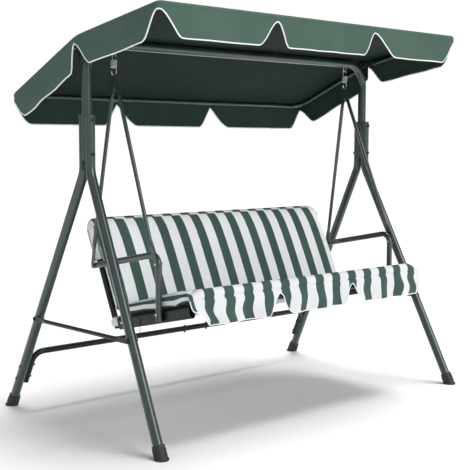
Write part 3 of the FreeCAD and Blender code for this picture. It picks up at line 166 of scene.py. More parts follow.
# ---------------------------------------------------------------- padding
PUFF_VOXEL = 0.006
PUFF_SWELL = 0.005
PUFF_PRESSURE = 4.0
PUFF_FRAMES = 20
PUFF_QUALITY = 4
LEAST_MOVE = 1e-9


def inflate(obj):
    """Runs the cloth simulation with pressure inside and keeps its last frame."""
    cloth = obj.modifiers.new("cloth", "CLOTH")
    cloth.settings.use_pressure = True
    cloth.settings.uniform_pressure_force = PUFF_PRESSURE
    cloth.settings.effector_weights.gravity = 0
    cloth.settings.quality = PUFF_QUALITY
    cloth.point_cache.frame_start = 1
    cloth.point_cache.frame_end = PUFF_FRAMES
    for f in range(1, PUFF_FRAMES + 1):
        bpy.context.scene.frame_set(f)
    apply_modifiers(obj)
    bpy.context.scene.frame_set(1)


def puff(obj, limit):
    """Puffs a closed form up by PUFF_SWELL at most; limit puts points back inside their own room."""
    remesh = obj.modifiers.new("remesh", "REMESH")
    remesh.mode = "VOXEL"
    remesh.voxel_size = PUFF_VOXEL
    remesh.use_smooth_shade = True
    apply_modifiers(obj)
    start = read_points(obj)
    inflate(obj)
    move = read_points(obj) - start
    distance = np.linalg.norm(move, axis=1)
    share = np.minimum(1.0, PUFF_SWELL / np.maximum(distance, LEAST_MOVE))
    end = limit(start + move * share[:, None])
    obj.data.vertices.foreach_set("co", end.ravel())
    obj.data.update()
    subdivide(obj)
    apply_modifiers(obj)
    for polygon in obj.data.polygons:
        polygon.use_smooth = True


# ---------------------------------------------------------------- materials
class Shader:
    """A material whose nodes are added one by one."""

    def __init__(self, name, roughness, metallic=0.0, **sockets):
        self.material = bpy.data.materials.new(name)
        self.material.use_nodes = True
        self.tree = self.material.node_tree
        self.bsdf = self.tree.nodes["Principled BSDF"]
        self.bsdf.inputs["Roughness"].default_value = roughness
        self.bsdf.inputs["Metallic"].default_value = metallic
        for key, value in sockets.items():
            self.bsdf.inputs[key.replace("_", " ")].default_value = value
        self.coords = self.node("ShaderNodeTexCoord").outputs["Object"]
        self.last_bump = None

    def feed(self, socket, value):
        """Links another node's output to a socket, or sets a plain value on it."""
        if isinstance(value, bpy.types.NodeSocket):
            self.tree.links.new(value, socket)
        else:
            socket.default_value = value

    def node(self, kind, **inputs):
        made = self.tree.nodes.new(kind)
        for key, value in inputs.items():
            self.feed(made.inputs[key.replace("_", " ")], value)
        return made

    def math(self, operation, a, b=0.0, c=0.0):
        made = self.tree.nodes.new("ShaderNodeMath")
        made.operation = operation
        for socket, value in zip(made.inputs, (a, b, c)):
            self.feed(socket, value)
        return made.outputs[0]

    def noise(self, scale, detail=2.0):
        made = self.node("ShaderNodeTexNoise", Vector=self.coords, Scale=scale, Detail=detail)
        return made.outputs["Fac"]

    def map_range(self, value, start, end, low=0.0, high=1.0):
        made = self.node("ShaderNodeMapRange", Value=value, From_Min=start, From_Max=end, To_Min=low,
                         To_Max=high)
        return made.outputs["Result"]

    def spread(self, fac, low, high):
        """Maps noise, which stays near 0.5, to the range from low to high."""
        return self.map_range(fac, 0.3, 0.7, low, high)

    def ramp(self, fac, dark, light, margin=0.3):
        """Blends two colours by a noise value, each pure beyond its margin."""
        made = self.node("ShaderNodeValToRGB", Fac=fac)
        elements = made.color_ramp.elements
        elements[0].position, elements[0].color = margin, (*dark, 1)
        elements[1].position, elements[1].color = 1 - margin, (*light, 1)
        return made.outputs["Color"]

    def mix(self, fac, a, b, mode="MIX"):
        """Mixes two colour outputs."""
        made = self.tree.nodes.new("ShaderNodeMix")
        made.data_type = "RGBA"
        made.blend_type = mode
        factor_socket, a_socket, b_socket = made.inputs[0], made.inputs[6], made.inputs[7]
        self.feed(factor_socket, fac)
        self.feed(a_socket, a)
        self.feed(b_socket, b)
        return made.outputs[2]

    def color(self, output):
        self.tree.links.new(output, self.bsdf.inputs["Base Color"])

    def roughness(self, output):
        self.tree.links.new(output, self.bsdf.inputs["Roughness"])

    def bump(self, height, strength, distance):
        """Adds a bump on top of the earlier ones."""
        made = self.node("ShaderNodeBump", Height=height, Strength=strength, Distance=distance)
        if self.last_bump:
            self.tree.links.new(self.last_bump, made.inputs["Normal"])
        self.last_bump = made.outputs["Normal"]
        self.tree.links.new(self.last_bump, self.bsdf.inputs["Normal"])

    def weave(self, pitch, strength):
        """Plain weave: two crossed thread directions. Returns its height."""
        parts = self.node("ShaderNodeSeparateXYZ", Vector=self.coords)
        upright = self.math("ADD", parts.outputs["Y"], parts.outputs["Z"])
        waves = [self.math("SINE", self.math("MULTIPLY", place, 2 * math.pi / pitch))
                 for place in (parts.outputs["X"], upright)]
        height = self.math("MULTIPLY", *waves)
        self.bump(height, strength, distance=0.0002)
        return height

    def threads(self, tone, height, depth):
        """Paints a weave's tone darker in the gaps between its yarns and lighter on the yarns: painted shade
        and a painted highlight that follow the weave's height.
        """
        level = self.math("MULTIPLY_ADD", height, depth, 1 - depth / 2)
        grey = self.node("ShaderNodeCombineColor", Red=level, Green=level, Blue=level)
        return self.mix(1.0, tone, grey.outputs[0], "MULTIPLY")


def powder_coat(name, dark, light, coat, specular):
    shader = Shader(name, roughness=0.34, Coat_Weight=coat, Coat_Roughness=0.18, Specular_IOR_Level=specular)
    shader.color(shader.ramp(shader.noise(scale=9.0, detail=3.0), dark, light, margin=0.35))
    shader.roughness(shader.spread(shader.noise(scale=60.0), low=0.26, high=0.42))
    shader.bump(shader.noise(scale=900.0, detail=1.0), strength=0.12, distance=0.0003)
    shader.bump(shader.noise(scale=140.0), strength=0.05, distance=0.001)
    return shader.material


def zinc(name, dark, light):
    shader = Shader(name, roughness=0.32, metallic=1.0)
    shader.color(shader.ramp(shader.noise(scale=220.0, detail=3.0), dark, light, margin=0.35))
    shader.roughness(shader.spread(shader.noise(scale=400.0), low=0.24, high=0.45))
    shader.bump(shader.noise(scale=1500.0), strength=0.1, distance=0.0002)
    return shader.material


def plastic(name, tone, rough):
    shader = Shader(name, roughness=rough)
    shader.color(shader.ramp(shader.noise(scale=30.0), dark=(tone * 0.8,) * 3, light=(tone * 1.25,) * 3))
    shader.roughness(shader.spread(shader.noise(scale=180.0), low=rough - 0.07, high=rough + 0.07))
    shader.bump(shader.noise(scale=1800.0, detail=1.0), strength=0.25, distance=0.0003)
    return shader.material


def plain_fabric(name, dark, light, pitch=0.0011):
    shader = Shader(name, roughness=0.85, Specular_IOR_Level=0.2)
    tone = shader.ramp(shader.noise(scale=5.0, detail=4.0), dark, light)
    height = shader.weave(pitch, strength=0.35)
    shader.color(shader.threads(tone, height, depth=0.06))
    shader.bump(shader.noise(scale=35.0, detail=3.0), strength=0.18, distance=0.002)
    shader.bump(shader.noise(scale=9.0, detail=4.0), strength=0.30, distance=0.010)
    return shader.material


GREEN = (0.045, 0.086, 0.074)
GREEN_LIGHT = (0.058, 0.107, 0.091)
WHITE = (0.83, 0.845, 0.88)
WHITE_LIGHT = (0.88, 0.895, 0.92)
STRIPE_EDGE = 0.0012
STRIPE_WAVER = 0.0030
STRIPE_PITCH = 0.0010
BACK_PERIOD = 0.1015
BACK_GREEN = 0.0495
SEAT_PERIOD = 0.0997
SEAT_START = -0.006
SEAT_GREEN = 0.0485


def shade(color, share):
    return tuple(value * share for value in color)


def stripe_tone(shader, along, period, start, width, green_painted_shade_share=1.0, white_painted_shade_share=1.0):
    """Green from start for width, then white, once each period of a length across the cloth; the two shares
    darken them, as painted shade.
    """
    turn = shader.math("FRACT", shader.math("DIVIDE", shader.math("SUBTRACT", along, start), period))
    edge = STRIPE_EDGE / period
    rise = shader.map_range(turn, 0.0, edge)
    fall = shader.map_range(turn, width / period, width / period + edge)
    cloud = shader.noise(scale=6.0, detail=4.0)
    green = shader.ramp(cloud, shade(GREEN, green_painted_shade_share), shade(GREEN_LIGHT, green_painted_shade_share))
    white = shader.ramp(cloud, shade(WHITE, white_painted_shade_share), shade(WHITE_LIGHT, white_painted_shade_share))
    return shader.mix(shader.math("SUBTRACT", rise, fall), white, green)


def stripe_shader(name):
    return Shader(name, roughness=0.82, Sheen_Weight=0.08, Specular_IOR_Level=0.2)


def striped_fabric(name, start):
    """Woven stripes across the bench, by place, that waver a little."""
    shader = stripe_shader(name)
    place = shader.node("ShaderNodeSeparateXYZ", Vector=shader.coords).outputs["X"]
    centred = shader.math("SUBTRACT", shader.noise(scale=14.0, detail=1.0), 0.5)
    along = shader.math("ADD", place, shader.math("MULTIPLY", centred, STRIPE_WAVER))
    tone = stripe_tone(shader, along, BACK_PERIOD, start, BACK_GREEN)
    height = shader.weave(STRIPE_PITCH, strength=0.3)
    shader.color(shader.threads(tone, height, depth=0.05))
    shader.bump(shader.noise(scale=28.0, detail=3.0), strength=0.3, distance=0.003)
    return shader.material


def cut_striped_fabric(name, green_painted_shade_share=1.0, white_painted_shade_share=1.0):
    """Stripes that follow the place in the cloth that each point was cut from."""
    shader = stripe_shader(name)
    cut = shader.node("ShaderNodeAttribute")
    cut.attribute_name = "cut_x"
    shader.color(stripe_tone(shader, cut.outputs["Fac"], SEAT_PERIOD, SEAT_START, SEAT_GREEN, green_painted_shade_share,
                             white_painted_shade_share))
    shader.weave(STRIPE_PITCH, strength=0.3)
    shader.bump(shader.noise(scale=28.0, detail=3.0), strength=0.3, distance=0.003)
    return shader.material


MATERIALS = {
    "frame_green": powder_coat("powder_coat", (0.010, 0.028, 0.026), (0.017, 0.041, 0.037), coat=0.7,
                               specular=0.5),
    "zinc": zinc("zinc_plate", (0.44, 0.45, 0.46), (0.66, 0.66, 0.65)),
    "foot_plastic": plastic("foot_plastic", tone=0.018, rough=0.55),
    "cap_plastic": plastic("cap_plastic", tone=0.02, rough=0.5),
    "knob_plastic": plastic("knob_plastic", tone=0.015, rough=0.3),
}
CANOPY_OUT = plain_fabric("canopy_cloth", (0.060, 0.108, 0.084), (0.074, 0.124, 0.098))
# The flap lining is darker than the outer cloth, partly its own coated colour and partly painted shade
CANOPY_LINING_AND_SHADE = plain_fabric("canopy_lining_and_painted_shade", (0.020, 0.040, 0.030), (0.027, 0.049, 0.038))
# The roof lining is the flap lining darkened further: painted shade under the roof
ROOF_PAINTED_SHADE_LINING = plain_fabric("roof_lining_painted_shade", (0.006, 0.016, 0.011), (0.010, 0.022, 0.016))
PIPING = plain_fabric("piping_tape", (0.80, 0.80, 0.82), (0.88, 0.88, 0.90), pitch=0.0008)
SLING = plain_fabric("sling_cloth", (0.018, 0.022, 0.021), (0.028, 0.032, 0.031), pitch=0.002)
BACKING = plain_fabric("cover_backing", (0.80, 0.81, 0.84), (0.88, 0.89, 0.91))
BACK_STRIPES = striped_fabric("back_stripes", start=0.0525)
HOOD_STRIPES = striped_fabric("hood_stripes", start=0.0165)
SEAT_STRIPES = cut_striped_fabric("seat_stripes")
# The valance's stripes are a darker copy of the seat's: painted shade on the hanging cloth
SKIRT_STRIPES_PAINTED_SHADE = cut_striped_fabric("skirt_stripes_painted_shade", green_painted_shade_share=0.80, white_painted_shade_share=0.76)

# A darker copy of the powder coat for the tubes low under the seat and canopy: painted shade where the
# bench's own shadow falls
PAINTED_SHADE_COAT = powder_coat("powder_coat_painted_shade", (0.003, 0.008, 0.007), (0.006, 0.013, 0.012), coat=0.15,
                       specular=0.3)
PAINTED_SHADE_TUBES = ["seat_rail_left", "seat_rail_right", "front_cross_rail", "rear_bar_left", "rear_bar_right",
             "side_brace_left", "side_brace_right", "back_frame", "back_lower_tube"]
DARK_ZINC = zinc("dark_zinc_plate", (0.030, 0.036, 0.035), (0.060, 0.070, 0.068))
DARK_BOLTS = ["stand_bolts", "stand_nuts"]


def finish_frame():
    """Gives each hard CAD piece the material of its slot, with painted shade (a darker copy of the powder
    coat) on the low tubes and darker zinc on the stand's bolts.
    """
    special = {name: PAINTED_SHADE_COAT for name in PAINTED_SHADE_TUBES} | {name: DARK_ZINC for name in DARK_BOLTS}
    for part in frame["record"]["subparts"]:
        name = part["node"]
        slot = part["material_slot"]
        if slot in MATERIALS:
            slots = NODES[name].data.materials
            slots.clear()
            slots.append(special.get(name, MATERIALS[slot]))


finish_frame()

# ---------------------------------------------------------------- canopy
CANOPY_INSET = 0.0008
FRONT_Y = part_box("canopy_valance_front")[0].y + CANOPY_INSET
REAR_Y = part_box("canopy_valance_rear")[1].y - CANOPY_INSET
SIDE_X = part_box("canopy_valance_right")[1].x - CANOPY_INSET
RIDGE = 1.513
RIDGE_ROUNDING = 0.018
RIDGE_SINK = 0.004
FRONT_SLOPE = math.tan(math.radians(9.0))
REAR_SLOPE = math.tan(math.radians(23.8))
MEAN_SLOPE = (REAR_SLOPE + FRONT_SLOPE) / 2
RIDGE_FOLD = (REAR_SLOPE - FRONT_SLOPE) / 2
CORNER = 0.024
CORNER_STEPS = 8
EDGE_STEP = 0.0125
FOLD = 0.010
FOLD_STEPS = 4
ROOF_RINGS = 22
ROOF_HIP = 0.40
ROOF_SAG = 0.009
ROOF_WRINKLE = 0.0018
SAG_SPREAD = 6
FLAP_STEPS = 12
FLAP_DROP = 0.121
FLAP_APEX = 0.028
FLAP_TOP = 0.012
FLAP_WAVE = 0.0035
FLAP_RUFFLE = 0.004
FLAP_CURL = 0.004
FLAP_STILL = 0.02
CURL_START = 0.085
CURL_RUN = 0.035
SIDE_FACING = 0.7
REAR_FLARE = 0.62
CANOPY_CLOTH = 0.0012
CANOPY_WELT = 0.0027
SEAM_RADIUS = 0.0011
SEAM_DROP = 0.011
SEAM_OUT = 0.0004
# Where the flap is cut up: plan position, then how wide the cut is before and after it, anticlockwise
FLAP_CUTS = [
    ((-0.281, "front"), 0.100, 0.068), ((0.286, "front"), 0.062, 0.140),
    ((0.231, "rear"), 0.120, 0.068), ((-0.322, "rear"), 0.120, 0.068),
    (("right", 0.010), 0.090, 0.070), (("left", 0.010), 0.070, 0.090),
    (("left", "front"), 0.105, 0.110), (("right", "front"), 0.085, 0.085),
    (("right", "rear"), 0.060, 0.070), (("left", "rear"), 0.080, 0.050),
]


def roof_z(y):
    """Top of the canopy's cloth, the ridge rounded over the beam."""
    rounded = math.sqrt(y * y + RIDGE_ROUNDING ** 2) - RIDGE_SINK
    return RIDGE - CANOPY_INSET - MEAN_SLOPE * y - RIDGE_FOLD * rounded


def canopy_edge():
    """Points of the canopy's plan outline, anticlockwise, each with its outward direction."""
    points = []

    def straight(a, b, normal):
        start, end = Vector(a), Vector(b)
        count = max(2, round((end - start).length / EDGE_STEP))
        for i in range(count):
            points.append((start + (end - start) * (i / count), Vector(normal)))

    def bend(cx, cy, start):
        for i in range(CORNER_STEPS):
            angle = math.radians(start + 90 * i / CORNER_STEPS)
            normal = Vector((math.cos(angle), math.sin(angle)))
            points.append((Vector((cx, cy)) + normal * CORNER, normal))

    left, right = -SIDE_X + CORNER, SIDE_X - CORNER
    front, rear = FRONT_Y + CORNER, REAR_Y - CORNER
    straight((left, FRONT_Y), (right, FRONT_Y), (0, -1))
    bend(right, front, -90)
    straight((SIDE_X, front), (SIDE_X, 0), (1, 0))
    straight((SIDE_X, 0), (SIDE_X, rear), (1, 0))
    bend(right, rear, 0)
    straight((right, REAR_Y), (left, REAR_Y), (0, 1))
    bend(left, rear, 90)
    straight((-SIDE_X, rear), (-SIDE_X, 0), (-1, 0))
    straight((-SIDE_X, 0), (-SIDE_X, front), (-1, 0))
    bend(left, front, 180)
    return points


def flap_cuts(edge):
    """Each point's distance along the outline, the outline's length and where the cuts are on it."""
    stations = [0.0]
    for i in range(1, len(edge)):
        stations.append(stations[-1] + (edge[i][0] - edge[i - 1][0]).length)
    total = stations[-1] + (edge[0][0] - edge[-1][0]).length
    pull = CORNER * (1 - math.sqrt(0.5))
    named = {"left": -SIDE_X + pull, "right": SIDE_X - pull, "front": FRONT_Y + pull, "rear": REAR_Y - pull}
    cuts = []
    for place, before, after in FLAP_CUTS:
        target = Vector([named.get(value, value) for value in place])
        nearest = min(range(len(edge)), key=lambda i: (edge[i][0] - target).length)
        cuts.append((stations[nearest], before, after, REAR_FLARE if place[1] == "rear" else 1.0))
    return stations, total, cuts


def flap_depth(station, total, cuts):
    share = 1.0
    for centre, before, after, flare in cuts:
        gap = (station - centre + total / 2) % total - total / 2
        share = min(share, smooth_step(gap / after if gap > 0 else -gap / before) ** flare)
    return FLAP_APEX + (FLAP_DROP - FLAP_APEX) * share


def roof_rows(edge):
    """The roof: rings from the middle line out to the fold."""
    middle = SIDE_X - ROOF_HIP
    verts = []
    for k in range(ROOF_RINGS + 1):
        for point, normal in edge:
            rim = point - normal * FOLD
            core = Vector((min(max(rim.x, -middle), middle), 0))
            place = core + (rim - core) * (k / ROOF_RINGS)
            reach = abs(place.y) / (abs(FRONT_Y) if place.y < 0 else REAR_Y)
            between = math.sin(math.pi * min(reach, 1.0))
            sag = ROOF_SAG * between * max(0.0, 1 - (abs(place.x) / SIDE_X) ** SAG_SPREAD)
            wrinkle = ROOF_WRINKLE * between * ruffle(place.x, 5, place.y, 9, layer=3.1)
            verts.append((place.x, place.y, roof_z(place.y) - sag + wrinkle))
    return verts


def fold_rows(edge):
    """The quarter turn from the roof into the flap."""
    verts = []
    for k in range(1, FOLD_STEPS + 1):
        angle = math.pi / 2 * k / FOLD_STEPS
        for point, normal in edge:
            place = point - normal * (FOLD * (1 - math.sin(angle)))
            verts.append((place.x, place.y, roof_z(point.y) - FOLD * (1 - math.cos(angle))))
    return verts


def flap_rows(edge):
    """The hanging flap, cut up along its lower edge; its sides hang square to the sloping roof."""
    stations, total, cuts = flap_cuts(edge)
    verts = []
    for k in range(1, FLAP_STEPS + 1):
        for station, (point, normal) in zip(stations, edge):
            depth = flap_depth(station, total, cuts)
            down = FOLD + (depth - FOLD) * (k / FLAP_STEPS)
            loose = max(0.0, (down - FLAP_STILL) / (FLAP_DROP - FLAP_STILL))
            wave = FLAP_WAVE * math.sin(station * 31 + 1.3 * math.sin(station * 7)) * loose
            wave += FLAP_RUFFLE * ruffle(point.x, 9, point.y, 9, layer=down * 14) * loose
            curl = FLAP_CURL * smooth_step((down - CURL_START) / CURL_RUN)
            place = point + normal * (wave - curl)
            side = smooth_step((abs(normal.x) - SIDE_FACING) / (1 - SIDE_FACING))
            tilt = math.atan(REAR_SLOPE if point.y > 0 else FRONT_SLOPE)
            lean = side * (down - FOLD) * math.sin(tilt)
            drop = down * (1 - side * (1 - math.cos(tilt)))
            verts.append((place.x, place.y - lean, roof_z(point.y) - drop))
    return verts


def make_canopy():
    """The cover as one sheet, with the welt along its lower edge and the seam below the fold."""
    edge = canopy_edge()
    count = len(edge)
    verts = roof_rows(edge) + fold_rows(edge) + flap_rows(edge)
    faces = grid_faces(ROOF_RINGS + 1 + FOLD_STEPS + FLAP_STEPS, count, wrap_columns=True)
    obj = make_object("canopy_cover", verts, faces, CANOPY_OUT)
    fix_normals(obj)
    # The inner side takes the material after the outer side's: a lining darkened as painted shade under the
    # roof, and a green lining in the flaps that is darker partly by its own colour and partly by painted
    # shade
    for cloth in (ROOF_PAINTED_SHADE_LINING, CANOPY_OUT, CANOPY_LINING_AND_SHADE):
        obj.data.materials.append(cloth)
    for polygon in obj.data.polygons:
        below = roof_z(polygon.center.y) - polygon.center.z
        polygon.material_index = 2 if below > FLAP_TOP else 0
    solidify(obj, CANOPY_CLOTH).material_offset = 1
    apply_modifiers(obj)
    welt = rope("canopy_welt", [Vector(v) for v in verts[-count:]], CANOPY_WELT, PIPING, closed=True)
    seam_points = [Vector((p.x + n.x * SEAM_OUT, p.y + n.y * SEAM_OUT, roof_z(p.y) - SEAM_DROP))
                   for p, n in edge]
    seam = rope("canopy_seam", seam_points, SEAM_RADIUS, CANOPY_OUT, closed=True, sides=6)
    return obj, welt, seam


canopy, canopy_welt, canopy_seam = make_canopy()
for piece in (canopy, canopy_welt, canopy_seam):
    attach(piece, "canopy")
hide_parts("canopy_roof", "canopy_valance_front", "canopy_valance_rear", "canopy_valance_left",
            "canopy_valance_right")
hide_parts("canopy_piping")

# ---------------------------------------------------------------- planes of the back and the seat
LEAN = math.radians(24.56)
BACK_UP = Vector((0, math.sin(LEAN), math.cos(LEAN)))
BACK_FRONT = Vector((0, -math.cos(LEAN), math.sin(LEAN)))
BACK_FOOT = Vector((0, 0.035, 0.420))
SLOPE = math.radians(12.9)
SEAT_NORMAL = Vector((0, math.sin(SLOPE), math.cos(SLOPE)))
SEAT_FOOT = Vector((0, 0, 0.3945))
WIDE = 0.665
WIDEST = WIDE + 0.0003


def back_point(x, up, forward):
    return BACK_FOOT + Vector((x, 0, 0)) + BACK_UP * up + BACK_FRONT * forward


def seat_point(x, y, lift):
    return Vector((x, y, SEAT_FOOT.z - y * math.tan(SLOPE))) + SEAT_NORMAL * lift


def loft(name, section, stations, material):
    """A closed form: section(x) gives the outline's points at each station along X."""
    sections = [section(x) for x in stations]
    columns = len(sections[0])
    faces = grid_faces(len(stations), columns, wrap_columns=True) + end_caps(len(stations), columns)
    obj = make_object(name, [point for points in sections for point in points], faces, material)
    fix_normals(obj)
    return obj


def end_stations(half, rounding, steps=7, spacing=0.03):
    """Stations from one end to the other, closer together at the rounded ends."""
    ends = [half - rounding * (1 - math.sin(math.pi / 2 * i / steps)) for i in range(steps + 1)][::-1]
    inner = half - rounding
    count = round(2 * inner / spacing)
    middle = [-inner + 2 * inner * i / count for i in range(1, count)]
    return [-x for x in ends] + middle + ends[::-1]


def end_inset(x, half, rounding):
    """How far a section shrinks inwards at a station near a rounded end."""
    over = max(0.0, abs(x) - (half - rounding)) / rounding
    return rounding * (1 - math.sqrt(max(0.0, 1 - over * over)))


def write_cut(obj, values):
    """Keeps the place across the cloth that each point was cut from, for the stripes."""
    cut = obj.data.attributes.new("cut_x", "FLOAT", "POINT")
    cut.data.foreach_set("value", values)


# ---------------------------------------------------------------- back cushion and its hood
# Section of the back's pad: how far up the back and how far in front of it, from the foot round the front
BACK_PROFILE = [(0.012, 0.016), (0.008, 0.026), (0.012, 0.037), (0.025, 0.045), (0.050, 0.0485),
                (0.11, 0.0495), (0.17, 0.0495), (0.22, 0.0490), (0.27, 0.0475), (0.315, 0.0445),
                (0.350, 0.0395), (0.378, 0.0325), (0.400, 0.0235), (0.414, 0.0140), (0.4195, 0.0040),
                (0.4150, -0.002), (0.400, 0.0120), (0.36, 0.0136), (0.30, 0.0136), (0.22, 0.0136),
                (0.14, 0.0136), (0.06, 0.0136)]
BACK_MIDDLE_UP = 0.214
BACK_MIDDLE_FORWARD = 0.030
BACK_HALF = WIDE - 0.001
BACK_ROUNDING = 0.022
BACK_FLATTER = 0.8
BACK_CLEAR = 0.0130
BACK_CLEAR_TOP = 0.385

# Section of the hood, over the top tube from the front to the back
HOOD_PATH = [(0.398, 0.0262), (0.408, 0.0195), (0.4155, 0.0125), (0.4205, 0.0040), (0.4225, -0.0050),
             (0.4170, -0.0120), (0.4050, -0.0152), (0.36, -0.0155), (0.31, -0.0155), (0.27, -0.0158),
             (0.237, -0.0162)]
HOOD_HALF = WIDE + 0.0035
HOOD_CORNER = 0.045
HOOD_TRIM = 0.648
HOOD_LOW = 0.237
HOOD_FALL_START = 0.24
HOOD_FALL_RUN = 0.16
HOOD_WAVE = 0.0012
HOOD_CLOTH = 0.0016
HOOD_END_TOP = 0.378
HOOD_END_ROWS = 12
HOOD_END_TURNS = 10
HOOD_END_FORWARD = 0.001
HOOD_END_DEPTH = 0.0168
HOOD_END_RADIUS = 0.0165
HOOD_END_WAVE = 0.0006
HOOD_END_CLOTH = 0.0014


def make_back_pad():
    def section(x):
        inset = end_inset(x, BACK_HALF, BACK_ROUNDING)
        return [back_point(x, toward(up, BACK_MIDDLE_UP, inset),
                           toward(forward, BACK_MIDDLE_FORWARD, inset * BACK_FLATTER))
                for up, forward in BACK_PROFILE]

    return loft("back_pad", section, end_stations(BACK_HALF, BACK_ROUNDING), BACK_STRIPES)


def limit_back(points):
    """Keeps the puffed pad off the tubes behind it and inside the cover's width."""
    front = np.array(BACK_FRONT)
    from_foot = points - np.array(BACK_FOOT)
    short = np.maximum(0.0, BACK_CLEAR - from_foot @ front)
    short[from_foot @ np.array(BACK_UP) > BACK_CLEAR_TOP] = 0
    points = points + short[:, None] * front
    points[:, 0] = np.clip(points[:, 0], -WIDEST, WIDEST)
    return points


def make_hood():
    """The cover's pocket over the top tube: open below, closed at the top."""
    verts = []
    stations = end_stations(HOOD_HALF, HOOD_CORNER, steps=9, spacing=0.028)
    for x in stations:
        drop = end_inset(x, HOOD_HALF, HOOD_CORNER)
        for up, forward in HOOD_PATH:
            fall = drop * smooth_step((up - HOOD_FALL_START) / HOOD_FALL_RUN)
            wave = HOOD_WAVE * ruffle(x, 12, up, 10, layer=7.7) if forward < 0 else 0
            verts.append(back_point(x, up - fall, forward + wave))
    obj = make_object("back_hood", verts, grid_faces(len(stations), len(HOOD_PATH)), HOOD_STRIPES)
    fix_normals(obj)
    obj.data.materials.append(BACKING)
    for polygon in obj.data.polygons:
        polygon.material_index = 1 if abs(polygon.center.x) > HOOD_TRIM else 0
    solidify(obj, HOOD_CLOTH)
    subdivide(obj)
    apply_modifiers(obj)
    return obj


def make_hood_end(side_name, side):
    """The hood's side: wraps round the frame's side tube, open at its lower end."""
    verts = []
    for i in range(HOOD_END_ROWS + 1):
        up = HOOD_LOW + (HOOD_END_TOP - HOOD_LOW) * i / HOOD_END_ROWS
        for k in range(HOOD_END_TURNS + 1):
            angle = -math.pi / 2 + math.pi * k / HOOD_END_TURNS
            forward = HOOD_END_FORWARD + HOOD_END_DEPTH * math.sin(angle)
            out = HOOD_HALF - HOOD_END_RADIUS + HOOD_END_RADIUS * math.cos(angle)
            wave = HOOD_END_WAVE * ruffle(up, 25, forward, 30, layer=side * 4.0)
            verts.append(back_point(side * (out + wave), up, forward))
    faces = grid_faces(HOOD_END_ROWS + 1, HOOD_END_TURNS + 1)
    obj = make_object(f"back_hood_end_{side_name}", verts, faces, BACKING)
    fix_normals(obj)
    solidify(obj, HOOD_END_CLOTH)
    subdivide(obj)
    apply_modifiers(obj)
    return obj


back_pad = make_back_pad()
puff(back_pad, limit_back)
hood = make_hood()
hood_ends = [make_hood_end("left", -1), make_hood_end("right", 1)]

# ---------------------------------------------------------------- seat cushion
# Section of the seat's pad: y, and the height above the seat's plane, from the rear over the top
SEAT_PROFILE = [(-0.020, 0.029), (-0.016, 0.040), (-0.020, 0.058), (-0.034, 0.068), (-0.08, 0.0715),
                (-0.15, 0.0735), (-0.22, 0.0740), (-0.29, 0.0745), (-0.36, 0.0755), (-0.41, 0.0755),
                (-0.434, 0.0725), (-0.445, 0.064), (-0.4475, 0.052), (-0.4445, 0.040), (-0.436, 0.0315),
                (-0.41, 0.0285), (-0.33, 0.0280), (-0.25, 0.0280), (-0.17, 0.0280), (-0.09, 0.0280)]
SEAT_MIDDLE_Y = -0.232
SEAT_MIDDLE_LIFT = 0.050
SEAT_HALF = WIDE - 0.003
SEAT_ROUNDING = 0.016
SEAT_BASE = 0.0275
SEAT_FRONT = -0.4495
RUMPLE = 0.0065
RUMPLE_START = 0.58
RUMPLE_RUN = 0.08
RUMPLE_LOW = 0.03
RUMPLE_RISE = 0.02
END_START = WIDE - 0.035
END_RUN = 0.022
END_TOP = 0.070
END_GATHER = 3.2
END_WAVER = 0.35
END_PLEAT = 0.0022


def make_seat_pad():
    def section(x):
        inset = end_inset(x, SEAT_HALF, SEAT_ROUNDING)
        near_end = smooth_step((abs(x) - RUMPLE_START) / RUMPLE_RUN)
        points = []
        for y, lift in SEAT_PROFILE:
            on_top = smooth_step((lift - RUMPLE_LOW) / RUMPLE_RISE)
            rumple = RUMPLE * near_end * ruffle(x, 3, y, 24, layer=1.7) * on_top
            points.append(seat_point(x, toward(y, SEAT_MIDDLE_Y, inset),
                                     toward(lift, SEAT_MIDDLE_LIFT, inset) + rumple))
        return points

    return loft("seat_pad", section, end_stations(SEAT_HALF, SEAT_ROUNDING), SEAT_STRIPES)


def limit_seat(points):
    """Keeps the puffed pad above the sling, inside the cover's width and behind the valance."""
    normal = np.array(SEAT_NORMAL)
    lift = (points - np.array(SEAT_FOOT)) @ normal
    points = points + np.maximum(0.0, SEAT_BASE - lift)[:, None] * normal
    points[:, 0] = np.clip(points[:, 0], -WIDEST, WIDEST)
    points[:, 1] = np.maximum(points[:, 1], SEAT_FRONT)
    return points


def gather_ends(obj):
    """Gathers the cover down the pad's two ends in small pleats."""
    cut_from = []
    for vertex in obj.data.vertices:
        x, y = vertex.co.x, vertex.co.y
        lift = (vertex.co - SEAT_FOOT).dot(SEAT_NORMAL)
        near_end = smooth_step((abs(x) - END_START) / END_RUN)
        gather = END_GATHER * (1 + END_WAVER * ruffle(y, 13, lift, 20, layer=4.4))
        down = max(0.0, END_TOP - lift) * gather * near_end
        cut_from.append(x + math.copysign(down, x))
        vertex.co.x += math.copysign(END_PLEAT * near_end * math.sin(down * 95 + y * 21), x)
    write_cut(obj, cut_from)


seat_pad = make_seat_pad()
puff(seat_pad, limit_seat)
gather_ends(seat_pad)

# ---------------------------------------------------------------- front valance
SKIRT_X = 0.672
SKIRT_PLANE = -0.4560
SKIRT_BOTTOM = 0.439
# Where the notches are along the valance, and half the width of each
SKIRT_NOTCHES = [(-0.216, 0.078), (0.216, 0.066)]
SKIRT_NOTCH_RISE = 0.084
